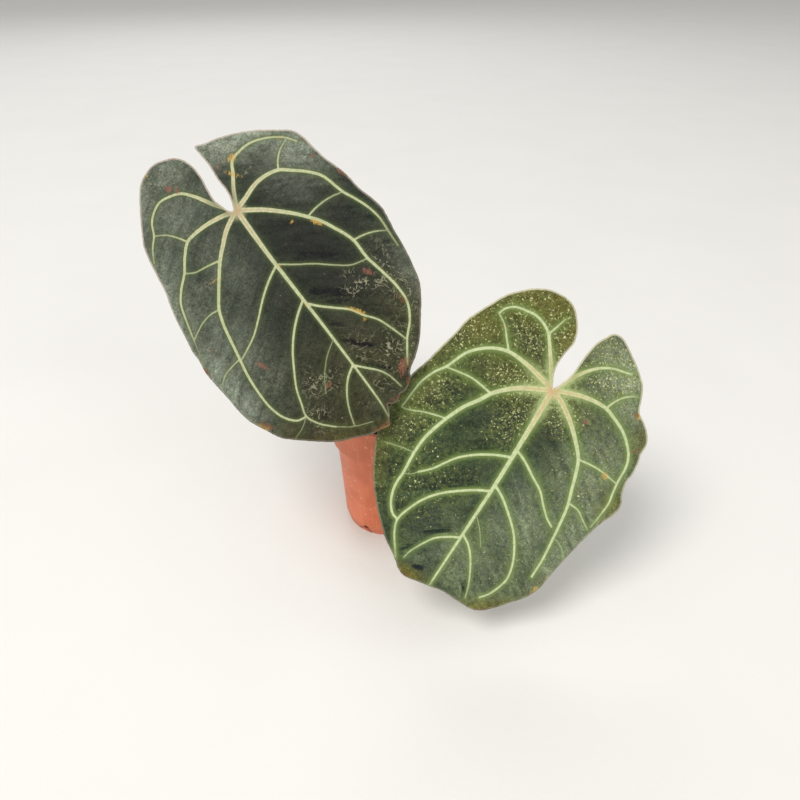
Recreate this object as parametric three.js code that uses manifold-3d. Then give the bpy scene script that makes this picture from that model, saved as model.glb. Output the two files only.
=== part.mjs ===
// A potted crystal anthurium: two large heart-shaped leaves on long stalks, one short stem and a
// terracotta-coloured plastic pot filled with bark mix. Millimetres, +Z up. The origin is the middle
// of the pot's underside, -Y faces the viewer and +X is to the viewer's right.

import * as THREE from 'three';
import { ConvexHull } from 'three/addons/math/ConvexHull.js';
import { mergeVertices } from 'three/addons/utils/BufferGeometryUtils.js';
import Module from 'manifold-3d';

const wasm = await Module();
wasm.setup();

// Pot
const POT_SIDES = 48;
const POT_HEIGHT = 126;
const COLLAR_HEIGHT = 33;
const COLLAR_TOP_RADIUS = 50.5;
const COLLAR_FOOT_RADIUS = 49.4;
const COLLAR_STEP = 4.2; // how far the collar stands out from the wall below it
const WALL_FOOT_RADIUS = 39.6;
const CHAMFER_HEIGHT = 9.5;
const FOOT_RADIUS = 36.8;
const FOOT_WIDTH = 6.5;
const BOSS_RADIUS = 8; // flat disc in the middle of the underside
const RECESS = 1.2; // the underside between boss and foot is raised by this
const POT_WALL = 1.5;
const DRAIN_COUNT = 8;
const DRAIN_RADIUS = 3;
const DRAIN_LEVEL = 6.2;

// Potting mix
const CLEARANCE = 0.3; // between pieces that touch
const MIX_SIDES = 36;
const MIX_LEVEL = 104;
const MIX_CROWN = 2.5; // the mix is higher in the middle by this
const CHIP_COUNT = 36;
const CHIP_CLEAR_RADIUS = 18; // no chips this close to the stem
const CHIP_LEAST = [5, 3.5, 3]; // smallest length, width and height of a chip
const CHIP_SPREAD = [4, 3, 2]; // the largest chips are bigger by this
const CHIP_RISE = 0.6; // chip centres lie this far above the mix
const GOLDEN_ANGLE = Math.PI * (3 - Math.sqrt(5)); // spreads things evenly round a centre

// Stem and leaf stalks
const STEM_SIDES = 14;
const STEM_RADIUS = 6.5;
const STEM_FOOT = 82;
const STEM_SHOULDER = 114;
const BUD_TOP = 134;
const SCAR_SPACING = 5.5;
const STALK_SIDES = 10;
const STALK_STEP = 11;
const STALK_FOOT = 96;
const STALK_FOOT_RADIUS = 3.7;
const STALK_RADIUS = 2.2;
const KNEE_RADIUS = 3.1; // the swollen joint below the blade
const KNEE_LENGTH = 16;
const STALK_GROOVE = 0.2; // depth of the groove at the foot, as a share of the radius
const STALK_OFFSET = STEM_RADIUS + CLEARANCE + STALK_FOOT_RADIUS - 0.4; // to the stem's middle

// Dry sheaths that clasp the stem
const SHEATH_THICKNESS = 0.9;
const SHEATH_HEIGHT = 44;
const SHEATH_HALF_ANGLE = 0.62;
const SHEATH_FLARE = 5; // the tip stands off the stem by this

// Blades
const BLADE_THICKNESS = 1.0;
const PAD_DEPTH = 2; // thick spot under the blade where the stalk meets it
const PAD_RADIUS = 4;
const PAD_FALL = 0.25; // how much the pad's face slopes away from flat
const RIB_HALF_WIDTH = 2.1;
const RIB_DEPTH_PER_WIDTH = 0.42;
const QUILT_HEIGHT = 2; // how far the blade swells between its veins
const QUILT_REACH = 9; // distance from a vein at which most of the swelling is reached
const WAVE_REACH = 15; // the waved margin is about this wide
const LONG_WAVE = 58;
const SHORT_WAVE = 36;
const CALM_RADIUS = 30; // no swelling or waves this close to the stalk
const OUTLINE_STEP = 5;
const VEIN_STEP = 10;
const FILL_STEP = 11;

// Each blade is drawn flat, in millimetres: [across, along], with along measured from the stalk to
// the tip and across positive to the viewer's right. Veins give their width at the start and end. The
// blade's relief rises towards its focus, [along, across, above], so that it swells evenly.
const LEFT_LEAF = {
  side: 'left',
  base: [-112.5, 0.8, 302.2],
  along: [0.601, -0.517, -0.609],
  face: [-0.138, -0.818, 0.558],
  scale: 0.986,
  length: 196.6,
  focus: [248, 64, 532],
  arch: 8,
  cup: 6,
  waveHeight: 1.9,
  stalkRoute: [[-15, 6, 150], [-32, 20, 205], [-64, 28, 257], [-94, 23, 288]],
  color: '#44513f',
  outline: [
    [-2.5, -2], [1, -9], [3, -18], [2.8, -30], [4, -44], [3.6, -56], [4, -63], [11, -60], [23, -56],
    [39, -48], [51, -40], [63, -30], [72, -22], [75.5, -14], [77, -4], [79.5, 14], [82, 22], [84.5, 36],
    [86, 50], [88.6, 60], [90, 72], [88.6, 82], [86.6, 92], [85, 106], [82, 120], [78, 134], [72, 144],
    [64, 154], [55, 165], [49, 171], [41, 177], [32, 183], [29, 187], [22, 191], [15, 194], [3, 195],
    [-2, 202], [-5.4, 206], [-13, 204.4], [-21, 203], [-31, 198], [-45, 191.6], [-57, 182.4],
    [-69, 172], [-79, 162], [-85, 150], [-90.6, 138], [-93, 126], [-94, 112], [-95.4, 100], [-96.4, 86],
    [-95, 74], [-95, 66], [-93.4, 56], [-91, 40], [-88, 26], [-84, 12], [-82, -2], [-80, -14],
    [-77, -26], [-71, -37], [-63, -50], [-56, -60], [-49, -68], [-39, -72.6], [-31, -73.6],
    [-21, -70.4], [-15, -67], [-10, -61], [-7, -52], [-6.6, -40], [-8.4, -28], [-9, -18], [-7, -10],
    [-5, -4.4],
  ],
  veins: [
    { width: [3.5, 1.2], path: [[0, 0], [-1, 40], [-0.6, 80], [0, 120], [-0.6, 188], [-2, 200]] },
    { width: [2.6, 1.2], path: [[0, 0], [8, -15], [15, -25], [21, -34], [29, -36], [39, -36], [49, -32.4],
      [59, -26], [65, -20], [70, -12]] },
    { width: [3, 1.2], path: [[2, -1], [11, -3.4], [23, -7], [33, -7.4], [45, -4], [53, 3], [62, 12],
      [69, 22], [74, 42], [78, 52], [82, 64], [83.8, 76], [83, 88], [82, 102]] },
    { width: [3, 1.4], path: [[2, 1], [7, 5], [17, 13], [27, 23], [35, 32], [41, 40], [47, 49], [52, 60],
      [56, 70], [58, 78], [58, 94], [60.6, 110], [62.6, 126], [61.6, 140], [55, 152], [45, 162],
      [33, 178]] },
    { width: [2.6, 1.2], path: [[-1, -1], [-11, -15], [-20, -31], [-27, -40], [-35, -44], [-45, -46],
      [-53, -43], [-60, -37], [-65, -27.6], [-72, -20], [-78, -10]] },
    { width: [3, 1.2], path: [[-2, -1], [-13, -4.4], [-25, -6.8], [-37, -7.4], [-46, -6], [-55, 2],
      [-63, 12], [-73, 21], [-80, 30], [-84, 42], [-88.6, 59]] },
    { width: [3, 1.4], path: [[-3, 0.5], [-16, 7], [-25, 14.4], [-34, 22.4], [-43, 33], [-51, 43],
      [-58, 53], [-62.6, 66], [-65.4, 80], [-68, 94], [-70.6, 108], [-71.8, 126], [-71, 140],
      [-67, 152], [-60, 160], [-52.6, 161.6]] },
    { width: [1.4, 1], path: [[45, -4], [49, -10], [56, -16], [64, -19]] },
    { width: [1.4, 1], path: [[41, 40], [49, 38.6], [59, 38.6], [67, 40], [74, 42.4]] },
    { width: [1.4, 1], path: [[58, 77], [67, 79], [75, 82.4], [83, 88]] },
    { width: [1.4, 1], path: [[-46, -6], [-50, -13], [-56, -21], [-65, -27.6]] },
    { width: [1.4, 1], path: [[-34, 22.4], [-45, 19.6], [-56, 17], [-63, 12.4]] },
    { width: [1.2, 1], path: [[-58, 53], [-65, 51.6], [-75, 53], [-88, 59]] },
    { width: [1.2, 1], path: [[-68, 94], [-77, 95], [-85, 97], [-91, 101]] },
    { width: [1.8, 1.2], path: [[0, 54], [11, 63], [23, 72], [35, 83], [45, 91], [57.4, 95]] },
    { width: [1.8, 1.2], path: [[0, 93], [6, 100], [15, 109], [24, 118], [29, 127], [36, 137], [40, 148],
      [44, 162]] },
    { width: [1.6, 1], path: [[0, 153], [7, 161], [13, 168], [17, 176], [19.4, 188]] },
    { width: [1.8, 1.2], path: [[-1, 54], [-13, 60], [-25, 68], [-37, 78], [-49, 87], [-66, 95]] },
    { width: [1.8, 1.2], path: [[-1, 89], [-9, 94], [-19, 102], [-30, 114], [-38, 126], [-46, 140],
      [-50, 152], [-52.6, 161.6], [-48, 172], [-39, 182]] },
    { width: [1.6, 1], path: [[-1, 153], [-9, 158], [-17, 167], [-23, 178], [-27, 190]] },
  ],
};

const RIGHT_LEAF = {
  side: 'right',
  base: [130.4, -73, 184.9],
  along: [-0.528, -0.434, -0.73],
  face: [0.077, -0.88, 0.468],
  scale: 1,
  length: 179.4,
  focus: [49, -158, 548],
  arch: 7,
  cup: 6,
  waveHeight: 2.2,
  stalkRoute: [[20, -1, 143], [48, -10, 170], [86, -30, 183], [116, -52, 184]],
  color: '#586844',
  outline: [
    [0, -2], [3, -8], [6, -16], [7, -26], [7.6, -38], [10, -50], [14, -58], [17.4, -62.6], [24, -64],
    [33, -60], [43, -54], [53, -47], [61, -39], [65, -30], [69, -22], [77, -17], [84, -11],
    [87.6, -4], [88, 4], [90, 12], [91, 20], [90.2, 30], [92.6, 39], [96, 45], [97, 50], [95, 58],
    [91, 66], [88, 76], [85, 88], [82.6, 100], [80, 114], [78, 126], [76.6, 136], [73, 145], [68, 152],
    [61, 160], [53, 169], [46, 175], [39, 178], [25, 178], [11, 177.4], [0, 179.4], [-11, 181],
    [-21, 182.4], [-28, 180], [-33, 176], [-41, 170], [-49, 165], [-59, 156], [-69, 146],
    [-79, 134], [-87, 122], [-92, 112], [-96, 104], [-100, 90], [-101, 75], [-100.5, 60], [-99.4, 46],
    [-95, 32], [-92, 18], [-88, 2], [-86, -10], [-82, -20], [-77, -30], [-70, -43], [-64, -50],
    [-55, -58], [-44, -64], [-35, -65.6], [-29, -66], [-21, -63.6], [-14, -57.6], [-8, -49], [-5.4, -40],
    [-6.6, -32], [-7.4, -24], [-7, -16], [-4, -8],
  ],
  veins: [
    { width: [4.4, 1.4], path: [[0, 0], [1, 45], [1.4, 86], [0.6, 130], [-0.4, 178]] },
    { width: [2.8, 1.4], path: [[0, -1], [5, -10], [9, -18], [15, -27], [23, -35], [32, -40], [41, -42.4],
      [47, -44]] },
    { width: [3.2, 1.2], path: [[1, -1], [9, -4.4], [19, -8], [31, -10.6], [44, -11], [55, -7.4], [65, -3],
      [74, 4], [80, 11], [83, 19], [84, 33], [85.4, 42], [87, 50], [86.6, 60], [85, 74]] },
    { width: [3.5, 1.6], path: [[2, 0.5], [8, 2], [17, 7], [27, 14], [37, 23], [47, 34], [52, 46], [56, 58],
      [60, 70], [62.6, 86], [64.6, 102], [66, 116], [66, 132]] },
    { width: [2.8, 1.4], path: [[-1, -1], [-10, -14], [-22, -30], [-27, -36], [-34, -40], [-42, -42],
      [-51, -41], [-59, -39], [-65, -34], [-67.4, -28.4]] },
    { width: [1.6, 1], path: [[-26, -35.6], [-23.4, -44], [-21, -52]] },
    { width: [3.2, 1.2], path: [[-2, -1], [-11, -3.4], [-23, -6], [-35, -7.6], [-45, -7.6], [-55, -4.6],
      [-65, 2], [-73, 11], [-80, 27], [-86, 36], [-90.6, 48], [-92, 60], [-93, 71]] },
    { width: [3.5, 1.6], path: [[-2, 0.5], [-9, 4], [-19, 9], [-29, 16], [-39, 26], [-45, 36], [-52, 46],
      [-58, 59], [-62.6, 72], [-65.4, 84], [-66, 98], [-65, 112], [-65, 126], [-61, 138], [-55, 145],
      [-49.4, 147]] },
    { width: [1.6, 1], path: [[44, -11], [46, -17], [51, -25], [57, -30], [62, -32]] },
    { width: [1.6, 1.2], path: [[47, 34], [59, 32.4], [69, 32.4], [78, 33.6], [83.4, 34.4]] },
    { width: [1.4, 1], path: [[60, 67], [69, 68], [77, 73], [84, 77]] },
    { width: [1.6, 1], path: [[-45, -7.6], [-51, -14], [-59, -23], [-67.4, -28.4]] },
    { width: [1.6, 1.2], path: [[-39, 27], [-47, 25.6], [-59, 24.4], [-71, 26], [-80, 27.6]] },
    { width: [1.4, 1], path: [[-58, 61], [-67, 63], [-77, 66], [-86, 70], [-93, 71.6]] },
    { width: [2, 1.4], path: [[1.2, 53], [11, 57], [23, 64], [35, 71], [43, 79], [51, 86], [58, 90]] },
    { width: [2, 1.4], path: [[1, 85], [11, 90], [23, 99], [34, 109], [42, 120], [47, 130], [50, 143],
      [48, 152], [44, 161], [39, 167]] },
    { width: [1.8, 1], path: [[1, 131], [9, 136], [16, 144], [22, 154], [26.6, 164], [29.4, 173]] },
    { width: [2, 1.4], path: [[1, 60], [-11, 65], [-23, 72], [-35, 82], [-41, 90], [-47, 99],
      [-55, 107]] },
    { width: [2, 1.4], path: [[1, 91], [-9, 96], [-21, 104], [-31, 112], [-39, 121], [-45, 132],
      [-49.4, 147], [-46, 157], [-40, 166], [-35, 173]] },
    { width: [1.8, 1], path: [[0.6, 134], [-9, 139], [-17, 145], [-23, 154], [-28, 164], [-29.4, 170]] },
  ],
};

// Repeatable random numbers from 0 to 1.
function randomStream(seed) {
  let state = seed;
  return () => {
    state = (state * 16807) % 2147483647;
    return state / 2147483647;
  };
}

// Merges shared corners, drops triangles with no area and turns the faces outward.
function closedBody(geometry) {
  geometry.deleteAttribute('normal');
  geometry.deleteAttribute('uv');
  const merged = mergeVertices(geometry, 1e-3);
  const position = merged.getAttribute('position');
  const corners = [0, 1, 2].map(() => new THREE.Vector3());
  const kept = [];
  let volume = 0;
  for (let i = 0; i < merged.index.count; i += 3) {
    const triangle = [0, 1, 2].map((k) => merged.index.getX(i + k));
    if (new Set(triangle).size < 3) continue;
    corners.forEach((corner, k) => corner.fromBufferAttribute(position, triangle[k]));
    volume += corners[0].dot(corners[1].clone().cross(corners[2]));
    kept.push(...triangle);
  }
  if (volume < 0) kept.reverse();
  merged.setIndex(kept);
  return merged;
}

function toSolid(geometry) {
  const body = closedBody(geometry);
  const vertProperties = new Float32Array(body.getAttribute('position').array);
  const triVerts = new Uint32Array(body.index.array);
  return new wasm.Manifold(new wasm.Mesh({ numProp: 3, vertProperties, triVerts }));
}

function fromSolid(solid) {
  const mesh = solid.getMesh();
  const geometry = new THREE.BufferGeometry();
  geometry.setAttribute('position', new THREE.BufferAttribute(new Float32Array(mesh.vertProperties), 3));
  geometry.setIndex(Array.from(mesh.triVerts));
  return geometry;
}

// A body of revolution about Z from a profile of [radius, height] points.
function turned(profile, sides) {
  const points = profile.map(([radius, height]) => new THREE.Vector2(radius, height));
  return new THREE.LatheGeometry(points, sides).rotateX(Math.PI / 2);
}

// A round bar along a curve, with its radius and groove set by functions of the way along, 0 to 1.
function tube(curve, sides, steps, radiusAt, grooveAt) {
  const frames = curve.computeFrenetFrames(steps, false);
  const vertices = [];
  for (let i = 0; i <= steps; i += 1) {
    const t = i / steps;
    const centre = curve.getPointAt(t);
    for (let k = 0; k < sides; k += 1) {
      const angle = (2 * Math.PI * k) / sides;
      const radius = radiusAt(t) * (1 - grooveAt(t) * Math.max(0, Math.cos(angle)) ** 6);
      const point = centre.clone();
      point.addScaledVector(frames.normals[i], radius * Math.cos(angle));
      point.addScaledVector(frames.binormals[i], radius * Math.sin(angle));
      vertices.push(...point.toArray());
    }
  }
  const triangles = [];
  for (let i = 0; i < steps; i += 1) {
    for (let k = 0; k < sides; k += 1) {
      const a = i * sides + k;
      const b = i * sides + ((k + 1) % sides);
      triangles.push(a, b, b + sides, a, b + sides, a + sides);
    }
  }
  for (let k = 1; k < sides - 1; k += 1) {
    triangles.push(0, k + 1, k);
    triangles.push(steps * sides, steps * sides + k, steps * sides + k + 1);
  }
  const geometry = new THREE.BufferGeometry();
  geometry.setAttribute('position', new THREE.Float32BufferAttribute(vertices, 3));
  geometry.setIndex(triangles);
  return geometry;
}

// Pot

function wallRadius(z) {
  const t = (z - CHAMFER_HEIGHT) / (POT_HEIGHT - COLLAR_HEIGHT - CHAMFER_HEIGHT);
  return THREE.MathUtils.lerp(WALL_FOOT_RADIUS, COLLAR_FOOT_RADIUS - COLLAR_STEP, t);
}

const COLLAR_FOOT = POT_HEIGHT - COLLAR_HEIGHT;
const FLOOR_TOP = RECESS + POT_WALL;
const INNER_PROFILE = [
  [FOOT_RADIUS - POT_WALL, FLOOR_TOP],
  [WALL_FOOT_RADIUS - POT_WALL, CHAMFER_HEIGHT + 0.5],
  [wallRadius(COLLAR_FOOT) - POT_WALL, COLLAR_FOOT],
  [COLLAR_FOOT_RADIUS - POT_WALL, COLLAR_FOOT + POT_WALL + 1],
  [COLLAR_TOP_RADIUS - POT_WALL, POT_HEIGHT],
];

function potGeometry() {
  const outside = [
    [0, 0], [BOSS_RADIUS, 0], [BOSS_RADIUS + 0.8, RECESS], [FOOT_RADIUS - FOOT_WIDTH - 0.8, RECESS],
    [FOOT_RADIUS - FOOT_WIDTH, 0], [FOOT_RADIUS, 0], [WALL_FOOT_RADIUS, CHAMFER_HEIGHT],
    [wallRadius(COLLAR_FOOT), COLLAR_FOOT], [COLLAR_FOOT_RADIUS, COLLAR_FOOT],
    [COLLAR_TOP_RADIUS - 0.4, POT_HEIGHT - 3], [COLLAR_TOP_RADIUS + 0.2, POT_HEIGHT - 2.4],
    [COLLAR_TOP_RADIUS + 0.2, POT_HEIGHT - 0.5], [COLLAR_TOP_RADIUS - 0.4, POT_HEIGHT],
  ];
  const inside = [...INNER_PROFILE].reverse();
  let pot = toSolid(turned([...outside, ...inside, [0, FLOOR_TOP]], POT_SIDES));
  const drain = new THREE.CylinderGeometry(DRAIN_RADIUS, DRAIN_RADIUS, 6, 12).rotateZ(Math.PI / 2);
  for (let i = 0; i < DRAIN_COUNT; i += 1) {
    const cut = drain.clone().translate(FOOT_RADIUS + 1.6, 0, DRAIN_LEVEL);
    pot = pot.subtract(toSolid(cut.rotateZ((2 * Math.PI * (i + 0.35)) / DRAIN_COUNT)));
  }
  return fromSolid(pot);
}

// Potting mix, with bark chips half sunk in its top and plain holes for the stem and the stalks

function upright(radius, from, to, x, sides) {
  const cylinder = new THREE.CylinderGeometry(radius, radius, to - from, sides).rotateX(Math.PI / 2);
  return cylinder.translate(x, 0, (from + to) / 2);
}

function mixLevel(radius) {
  return MIX_LEVEL + MIX_CROWN * (1 - (radius / COLLAR_FOOT_RADIUS) ** 2);
}

function mixGeometry() {
  const clear = CLEARANCE + 0.25;
  const side = INNER_PROFILE.slice(0, 4).map(([radius, z]) => [radius - clear, z]);
  side[0] = [side[0][0] - 0.2, FLOOR_TOP + CLEARANCE];
  const rim = COLLAR_FOOT_RADIUS - POT_WALL - clear;
  const rings = [rim, 40, 32, 24, 16, 8, 0];
  const top = rings.map((radius) => [radius, mixLevel(radius)]);
  const body = turned([[0, FLOOR_TOP + CLEARANCE], ...side, ...top], MIX_SIDES);
  const position = body.getAttribute('position');
  for (let i = 0; i < position.count; i += 1) {
    const [x, y, z] = [position.getX(i), position.getY(i), position.getZ(i)];
    const swell = 0.9 * Math.sin(x * 0.31 + 1) * Math.cos(y * 0.27) + 0.5 * Math.sin((x + y) * 0.55);
    if (z > MIX_LEVEL - 1) position.setZ(i, z + swell);
  }
  let mix = toSolid(body);
  const random = randomStream(4217);
  const longest = CHIP_LEAST[0] + CHIP_SPREAD[0];
  const span = rim - longest * 0.8 - CHIP_CLEAR_RADIUS;
  for (let i = 0; i < CHIP_COUNT; i += 1) {
    const angle = i * GOLDEN_ANGLE;
    const radius = CHIP_CLEAR_RADIUS + span * Math.sqrt((i + 0.5) / CHIP_COUNT);
    const size = CHIP_LEAST.map((least, k) => least + CHIP_SPREAD[k] * random());
    const chip = new THREE.BoxGeometry(...size);
    chip.rotateX(random() - 0.5).rotateY(0.9 * (random() - 0.5)).rotateZ(2 * Math.PI * random());
    chip.translate(radius * Math.cos(angle), radius * Math.sin(angle), mixLevel(radius) + CHIP_RISE);
    mix = mix.add(toSolid(chip));
  }
  const above = POT_HEIGHT;
  mix = mix.subtract(toSolid(upright(STEM_RADIUS + 1.1, STEM_FOOT - CLEARANCE, above, 0, 24)));
  for (const x of [-STALK_OFFSET, STALK_OFFSET]) {
    const hole = upright(STALK_FOOT_RADIUS + 0.5, STALK_FOOT - CLEARANCE, above, x, 20);
    mix = mix.subtract(toSolid(hole));
  }
  return fromSolid(mix);
}

// Stem: a ringed stub that ends in a pointed bud

function stemGeometry() {
  const profile = [[0, STEM_FOOT], [STEM_RADIUS - 1, STEM_FOOT]];
  for (let z = STEM_FOOT + 1; z < STEM_SHOULDER; z += SCAR_SPACING) {
    profile.push([STEM_RADIUS - 0.6, z], [STEM_RADIUS, z + SCAR_SPACING * 0.45]);
    profile.push([STEM_RADIUS - 0.1, z + SCAR_SPACING * 0.75]);
  }
  profile.push([STEM_RADIUS - 2, STEM_SHOULDER + 3], [STEM_RADIUS - 2.6, STEM_SHOULDER + 8]);
  profile.push([STEM_RADIUS - 4, BUD_TOP - 6], [STEM_RADIUS - 5.6, BUD_TOP - 1.5], [0, BUD_TOP]);
  return closedBody(turned(profile, STEM_SIDES));
}

// A thin pointed sheath, bent round the stem and standing on the mix

function sheathGeometry() {
  const across = 8;
  const up = 10;
  const foot = MIX_LEVEL + MIX_CROWN + 0.9;
  const vertices = [];
  for (const offset of [0, SHEATH_THICKNESS]) {
    for (let j = 0; j <= up; j += 1) {
      const v = j / up;
      const halfAngle = SHEATH_HALF_ANGLE * (1 - 0.93 * v ** 1.7);
      for (let i = 0; i <= across; i += 1) {
        const u = (2 * i) / across - 1;
        const flare = SHEATH_FLARE * v ** 2 + 0.6 * v * Math.cos(u * 5);
        const radius = STEM_RADIUS + 2 * CLEARANCE + offset + flare;
        const angle = halfAngle * u;
        const height = foot + SHEATH_HEIGHT * v * (1 - 0.05 * u * u);
        vertices.push(radius * Math.cos(angle), radius * Math.sin(angle), height);
      }
    }
  }
  const row = across + 1;
  const layer = row * (up + 1);
  const triangles = [];
  for (let j = 0; j < up; j += 1) {
    for (let i = 0; i < across; i += 1) {
      const a = j * row + i;
      const quad = [a, a + 1, a + row + 1, a, a + row + 1, a + row];
      triangles.push(...[...quad].reverse(), ...quad.map((k) => k + layer));
    }
  }
  const rim = [];
  for (let i = 0; i < across; i += 1) rim.push(i);
  for (let j = 0; j < up; j += 1) rim.push(j * row + across);
  for (let i = across; i > 0; i -= 1) rim.push(up * row + i);
  for (let j = up; j > 0; j -= 1) rim.push(j * row);
  rim.forEach((a, k) => {
    const b = rim[(k + 1) % rim.length];
    triangles.push(a, b, b + layer, a, b + layer, a + layer);
  });
  const geometry = new THREE.BufferGeometry();
  geometry.setAttribute('position', new THREE.Float32BufferAttribute(vertices, 3));
  geometry.setIndex(triangles);
  return closedBody(geometry);
}

// Blade outline and veins as dense point rows

function smoothRow(points, closed, step) {
  const corners = points.map(([across, along]) => new THREE.Vector3(along, across, 0));
  const curve = new THREE.CatmullRomCurve3(corners, closed, 'centripetal');
  const spans = closed ? corners.length : corners.length - 1;
  const row = [];
  for (let i = 0; i < spans; i += 1) {
    const parts = Math.ceil(corners[i].distanceTo(corners[(i + 1) % corners.length]) / step);
    for (let j = 0; j < parts; j += 1) row.push(curve.getPoint((i + j / parts) / spans));
  }
  if (!closed) row.push(corners[spans].clone());
  return row;
}

// The nearest point of a row to a point: its distance and the length along the row to it.
function nearest(row, point, closed) {
  const spans = closed ? row.length : row.length - 1;
  const line = new THREE.Line3();
  const foot = new THREE.Vector3();
  const best = { distance: Infinity, way: 0 };
  let way = 0;
  for (let i = 0; i < spans; i += 1) {
    line.set(row[i], row[(i + 1) % row.length]);
    line.closestPointToPoint(point, true, foot);
    const distance = foot.distanceTo(point);
    if (distance < best.distance) {
      best.distance = distance;
      best.way = way + foot.distanceTo(row[i]);
    }
    way += line.distance();
  }
  best.share = best.way / way;
  return best;
}

function isInside(row, point) {
  let inside = false;
  for (let i = 0, j = row.length - 1; i < row.length; j = i, i += 1) {
    const [p, q] = [row[i], row[j]];
    const crosses = (p.y > point.y) !== (q.y > point.y);
    if (crosses && point.x < ((q.x - p.x) * (point.y - p.y)) / (q.y - p.y) + p.x) inside = !inside;
  }
  return inside;
}

// Points of a blade: the outline first, then the veins, the feet of their ribs, and the rest.
function bladePoints(outline, veins) {
  const points = [...outline];
  const place = (point, gap, rimGap) => {
    if (!isInside(outline, point) || nearest(outline, point, true).distance < rimGap) return;
    if (points.every((other) => other.distanceTo(point) > gap)) points.push(point);
  };
  place(new THREE.Vector3(2.5, 0, 0), 0.5, 0.5);
  for (const vein of veins) vein.row.forEach((point) => place(point.clone(), 2, 2.8));
  for (const vein of veins) {
    for (let i = 1; i < vein.row.length; i += 1) {
      const ahead = vein.row[i].clone().sub(vein.row[i - 1]).normalize();
      for (const hand of [-1, 1]) {
        const offset = new THREE.Vector3(-ahead.y, ahead.x, 0).multiplyScalar(hand * RIB_HALF_WIDTH);
        place(vein.row[i].clone().add(offset), 1.9, 2.8);
      }
    }
  }
  const random = randomStream(31);
  const bounds = new THREE.Box3().setFromPoints(outline);
  const rowStep = FILL_STEP * Math.sin(Math.PI / 3);
  for (let x = bounds.min.x, shift = 0; x < bounds.max.x; x += rowStep, shift = FILL_STEP / 2 - shift) {
    for (let y = bounds.min.y - shift; y < bounds.max.y; y += FILL_STEP) {
      place(new THREE.Vector3(x + random(), y + random(), 0), FILL_STEP * 0.62, FILL_STEP * 0.42);
    }
  }
  return points;
}

// Splits flat points into well-shaped triangles: they are lifted onto a bowl, and the underside of the
// bowl's convex hull gives the split. Triangles outside the outline are left out.
function splitFlat(points, outline) {
  const bowl = points.map((p) => new THREE.Vector3(p.x, p.y, (p.x * p.x + p.y * p.y) / 200));
  const indexOf = new Map(bowl.map((p, i) => [p, i]));
  const hull = new ConvexHull().setFromPoints(bowl);
  const triangles = [];
  for (const face of hull.faces) {
    if (face.normal.z >= 0) continue;
    const corners = [face.edge, face.edge.next, face.edge.prev].map((edge) => indexOf.get(edge.head().point));
    const [p, q, r] = corners.map((i) => points[i]);
    const middle = p.clone().add(q).add(r).divideScalar(3);
    if (!isInside(outline, middle)) continue;
    const turn = (q.x - p.x) * (r.y - p.y) - (q.y - p.y) * (r.x - p.x);
    triangles.push(turn > 0 ? corners : [corners[0], corners[2], corners[1]]);
  }
  return triangles;
}

// Height of the blade's middle surface and depth of the rib below it, at a flat point.
function bladeRelief(leaf, outline, veins, point) {
  const rim = nearest(outline, point, true);
  let gap = Infinity;
  let rib = 0;
  for (const vein of veins) {
    const near = nearest(vein.row, point, false);
    const width = THREE.MathUtils.lerp(vein.width[0], vein.width[1], near.share);
    gap = Math.min(gap, near.distance);
    const share = 1 - near.distance / RIB_HALF_WIDTH;
    rib = Math.max(rib, width * RIB_DEPTH_PER_WIDTH * Math.max(0, share));
  }
  const t = point.x / leaf.length;
  const arch = 4 * leaf.arch * t * (1 - t);
  const cup = -leaf.cup * (point.y / 100) ** 2;
  const fade = 1 - Math.exp(-((point.length() / CALM_RADIUS) ** 2));
  const turn = 2 * Math.PI * rim.way;
  const swing = Math.sin(turn / LONG_WAVE) + 0.6 * Math.sin(turn / SHORT_WAVE + 1);
  const wave = leaf.waveHeight * fade * Math.exp(-rim.distance / WAVE_REACH) * swing;
  const quilt = QUILT_HEIGHT * fade * (1 - Math.exp(-((gap / QUILT_REACH) ** 2)));
  const pad = PAD_DEPTH * THREE.MathUtils.clamp((PAD_RADIUS + 2 - point.length()) / 2, 0, 1);
  return { height: arch + cup + wave + quilt, rib: Math.max(rib, pad) };
}

function bladeGeometry(leaf) {
  const outline = smoothRow(leaf.outline, true, OUTLINE_STEP);
  const veins = leaf.veins.map((vein) => ({ ...vein, row: smoothRow(vein.path, false, VEIN_STEP) }));
  const points = bladePoints(outline, veins);
  const faces = splitFlat(points, outline);
  const [focusAlong, focusAcross, focusAbove] = leaf.focus;
  const upper = [];
  const lower = [];
  for (const point of points) {
    const { height, rib } = bladeRelief(leaf, outline, veins, point);
    const rise = height / focusAbove;
    const along = leaf.scale * point.x * (1 - rise) + focusAlong * rise;
    const across = leaf.scale * point.y * (1 - rise) + focusAcross * rise;
    upper.push(along, across, height + BLADE_THICKNESS / 2);
    lower.push(along, across, height - BLADE_THICKNESS / 2 - rib);
  }
  const under = points.length;
  const triangles = [];
  for (const [a, b, c] of faces) triangles.push(a, b, c, a + under, c + under, b + under);
  outline.forEach((_, a) => {
    const b = (a + 1) % outline.length;
    triangles.push(a, b, a + under, b, b + under, a + under);
  });
  const geometry = new THREE.BufferGeometry();
  geometry.setAttribute('position', new THREE.Float32BufferAttribute([...upper, ...lower], 3));
  geometry.setIndex(triangles);
  return closedBody(geometry);
}

// Leaf stalk: up beside the stem, out along its route, and to the blade's pad from behind

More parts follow.
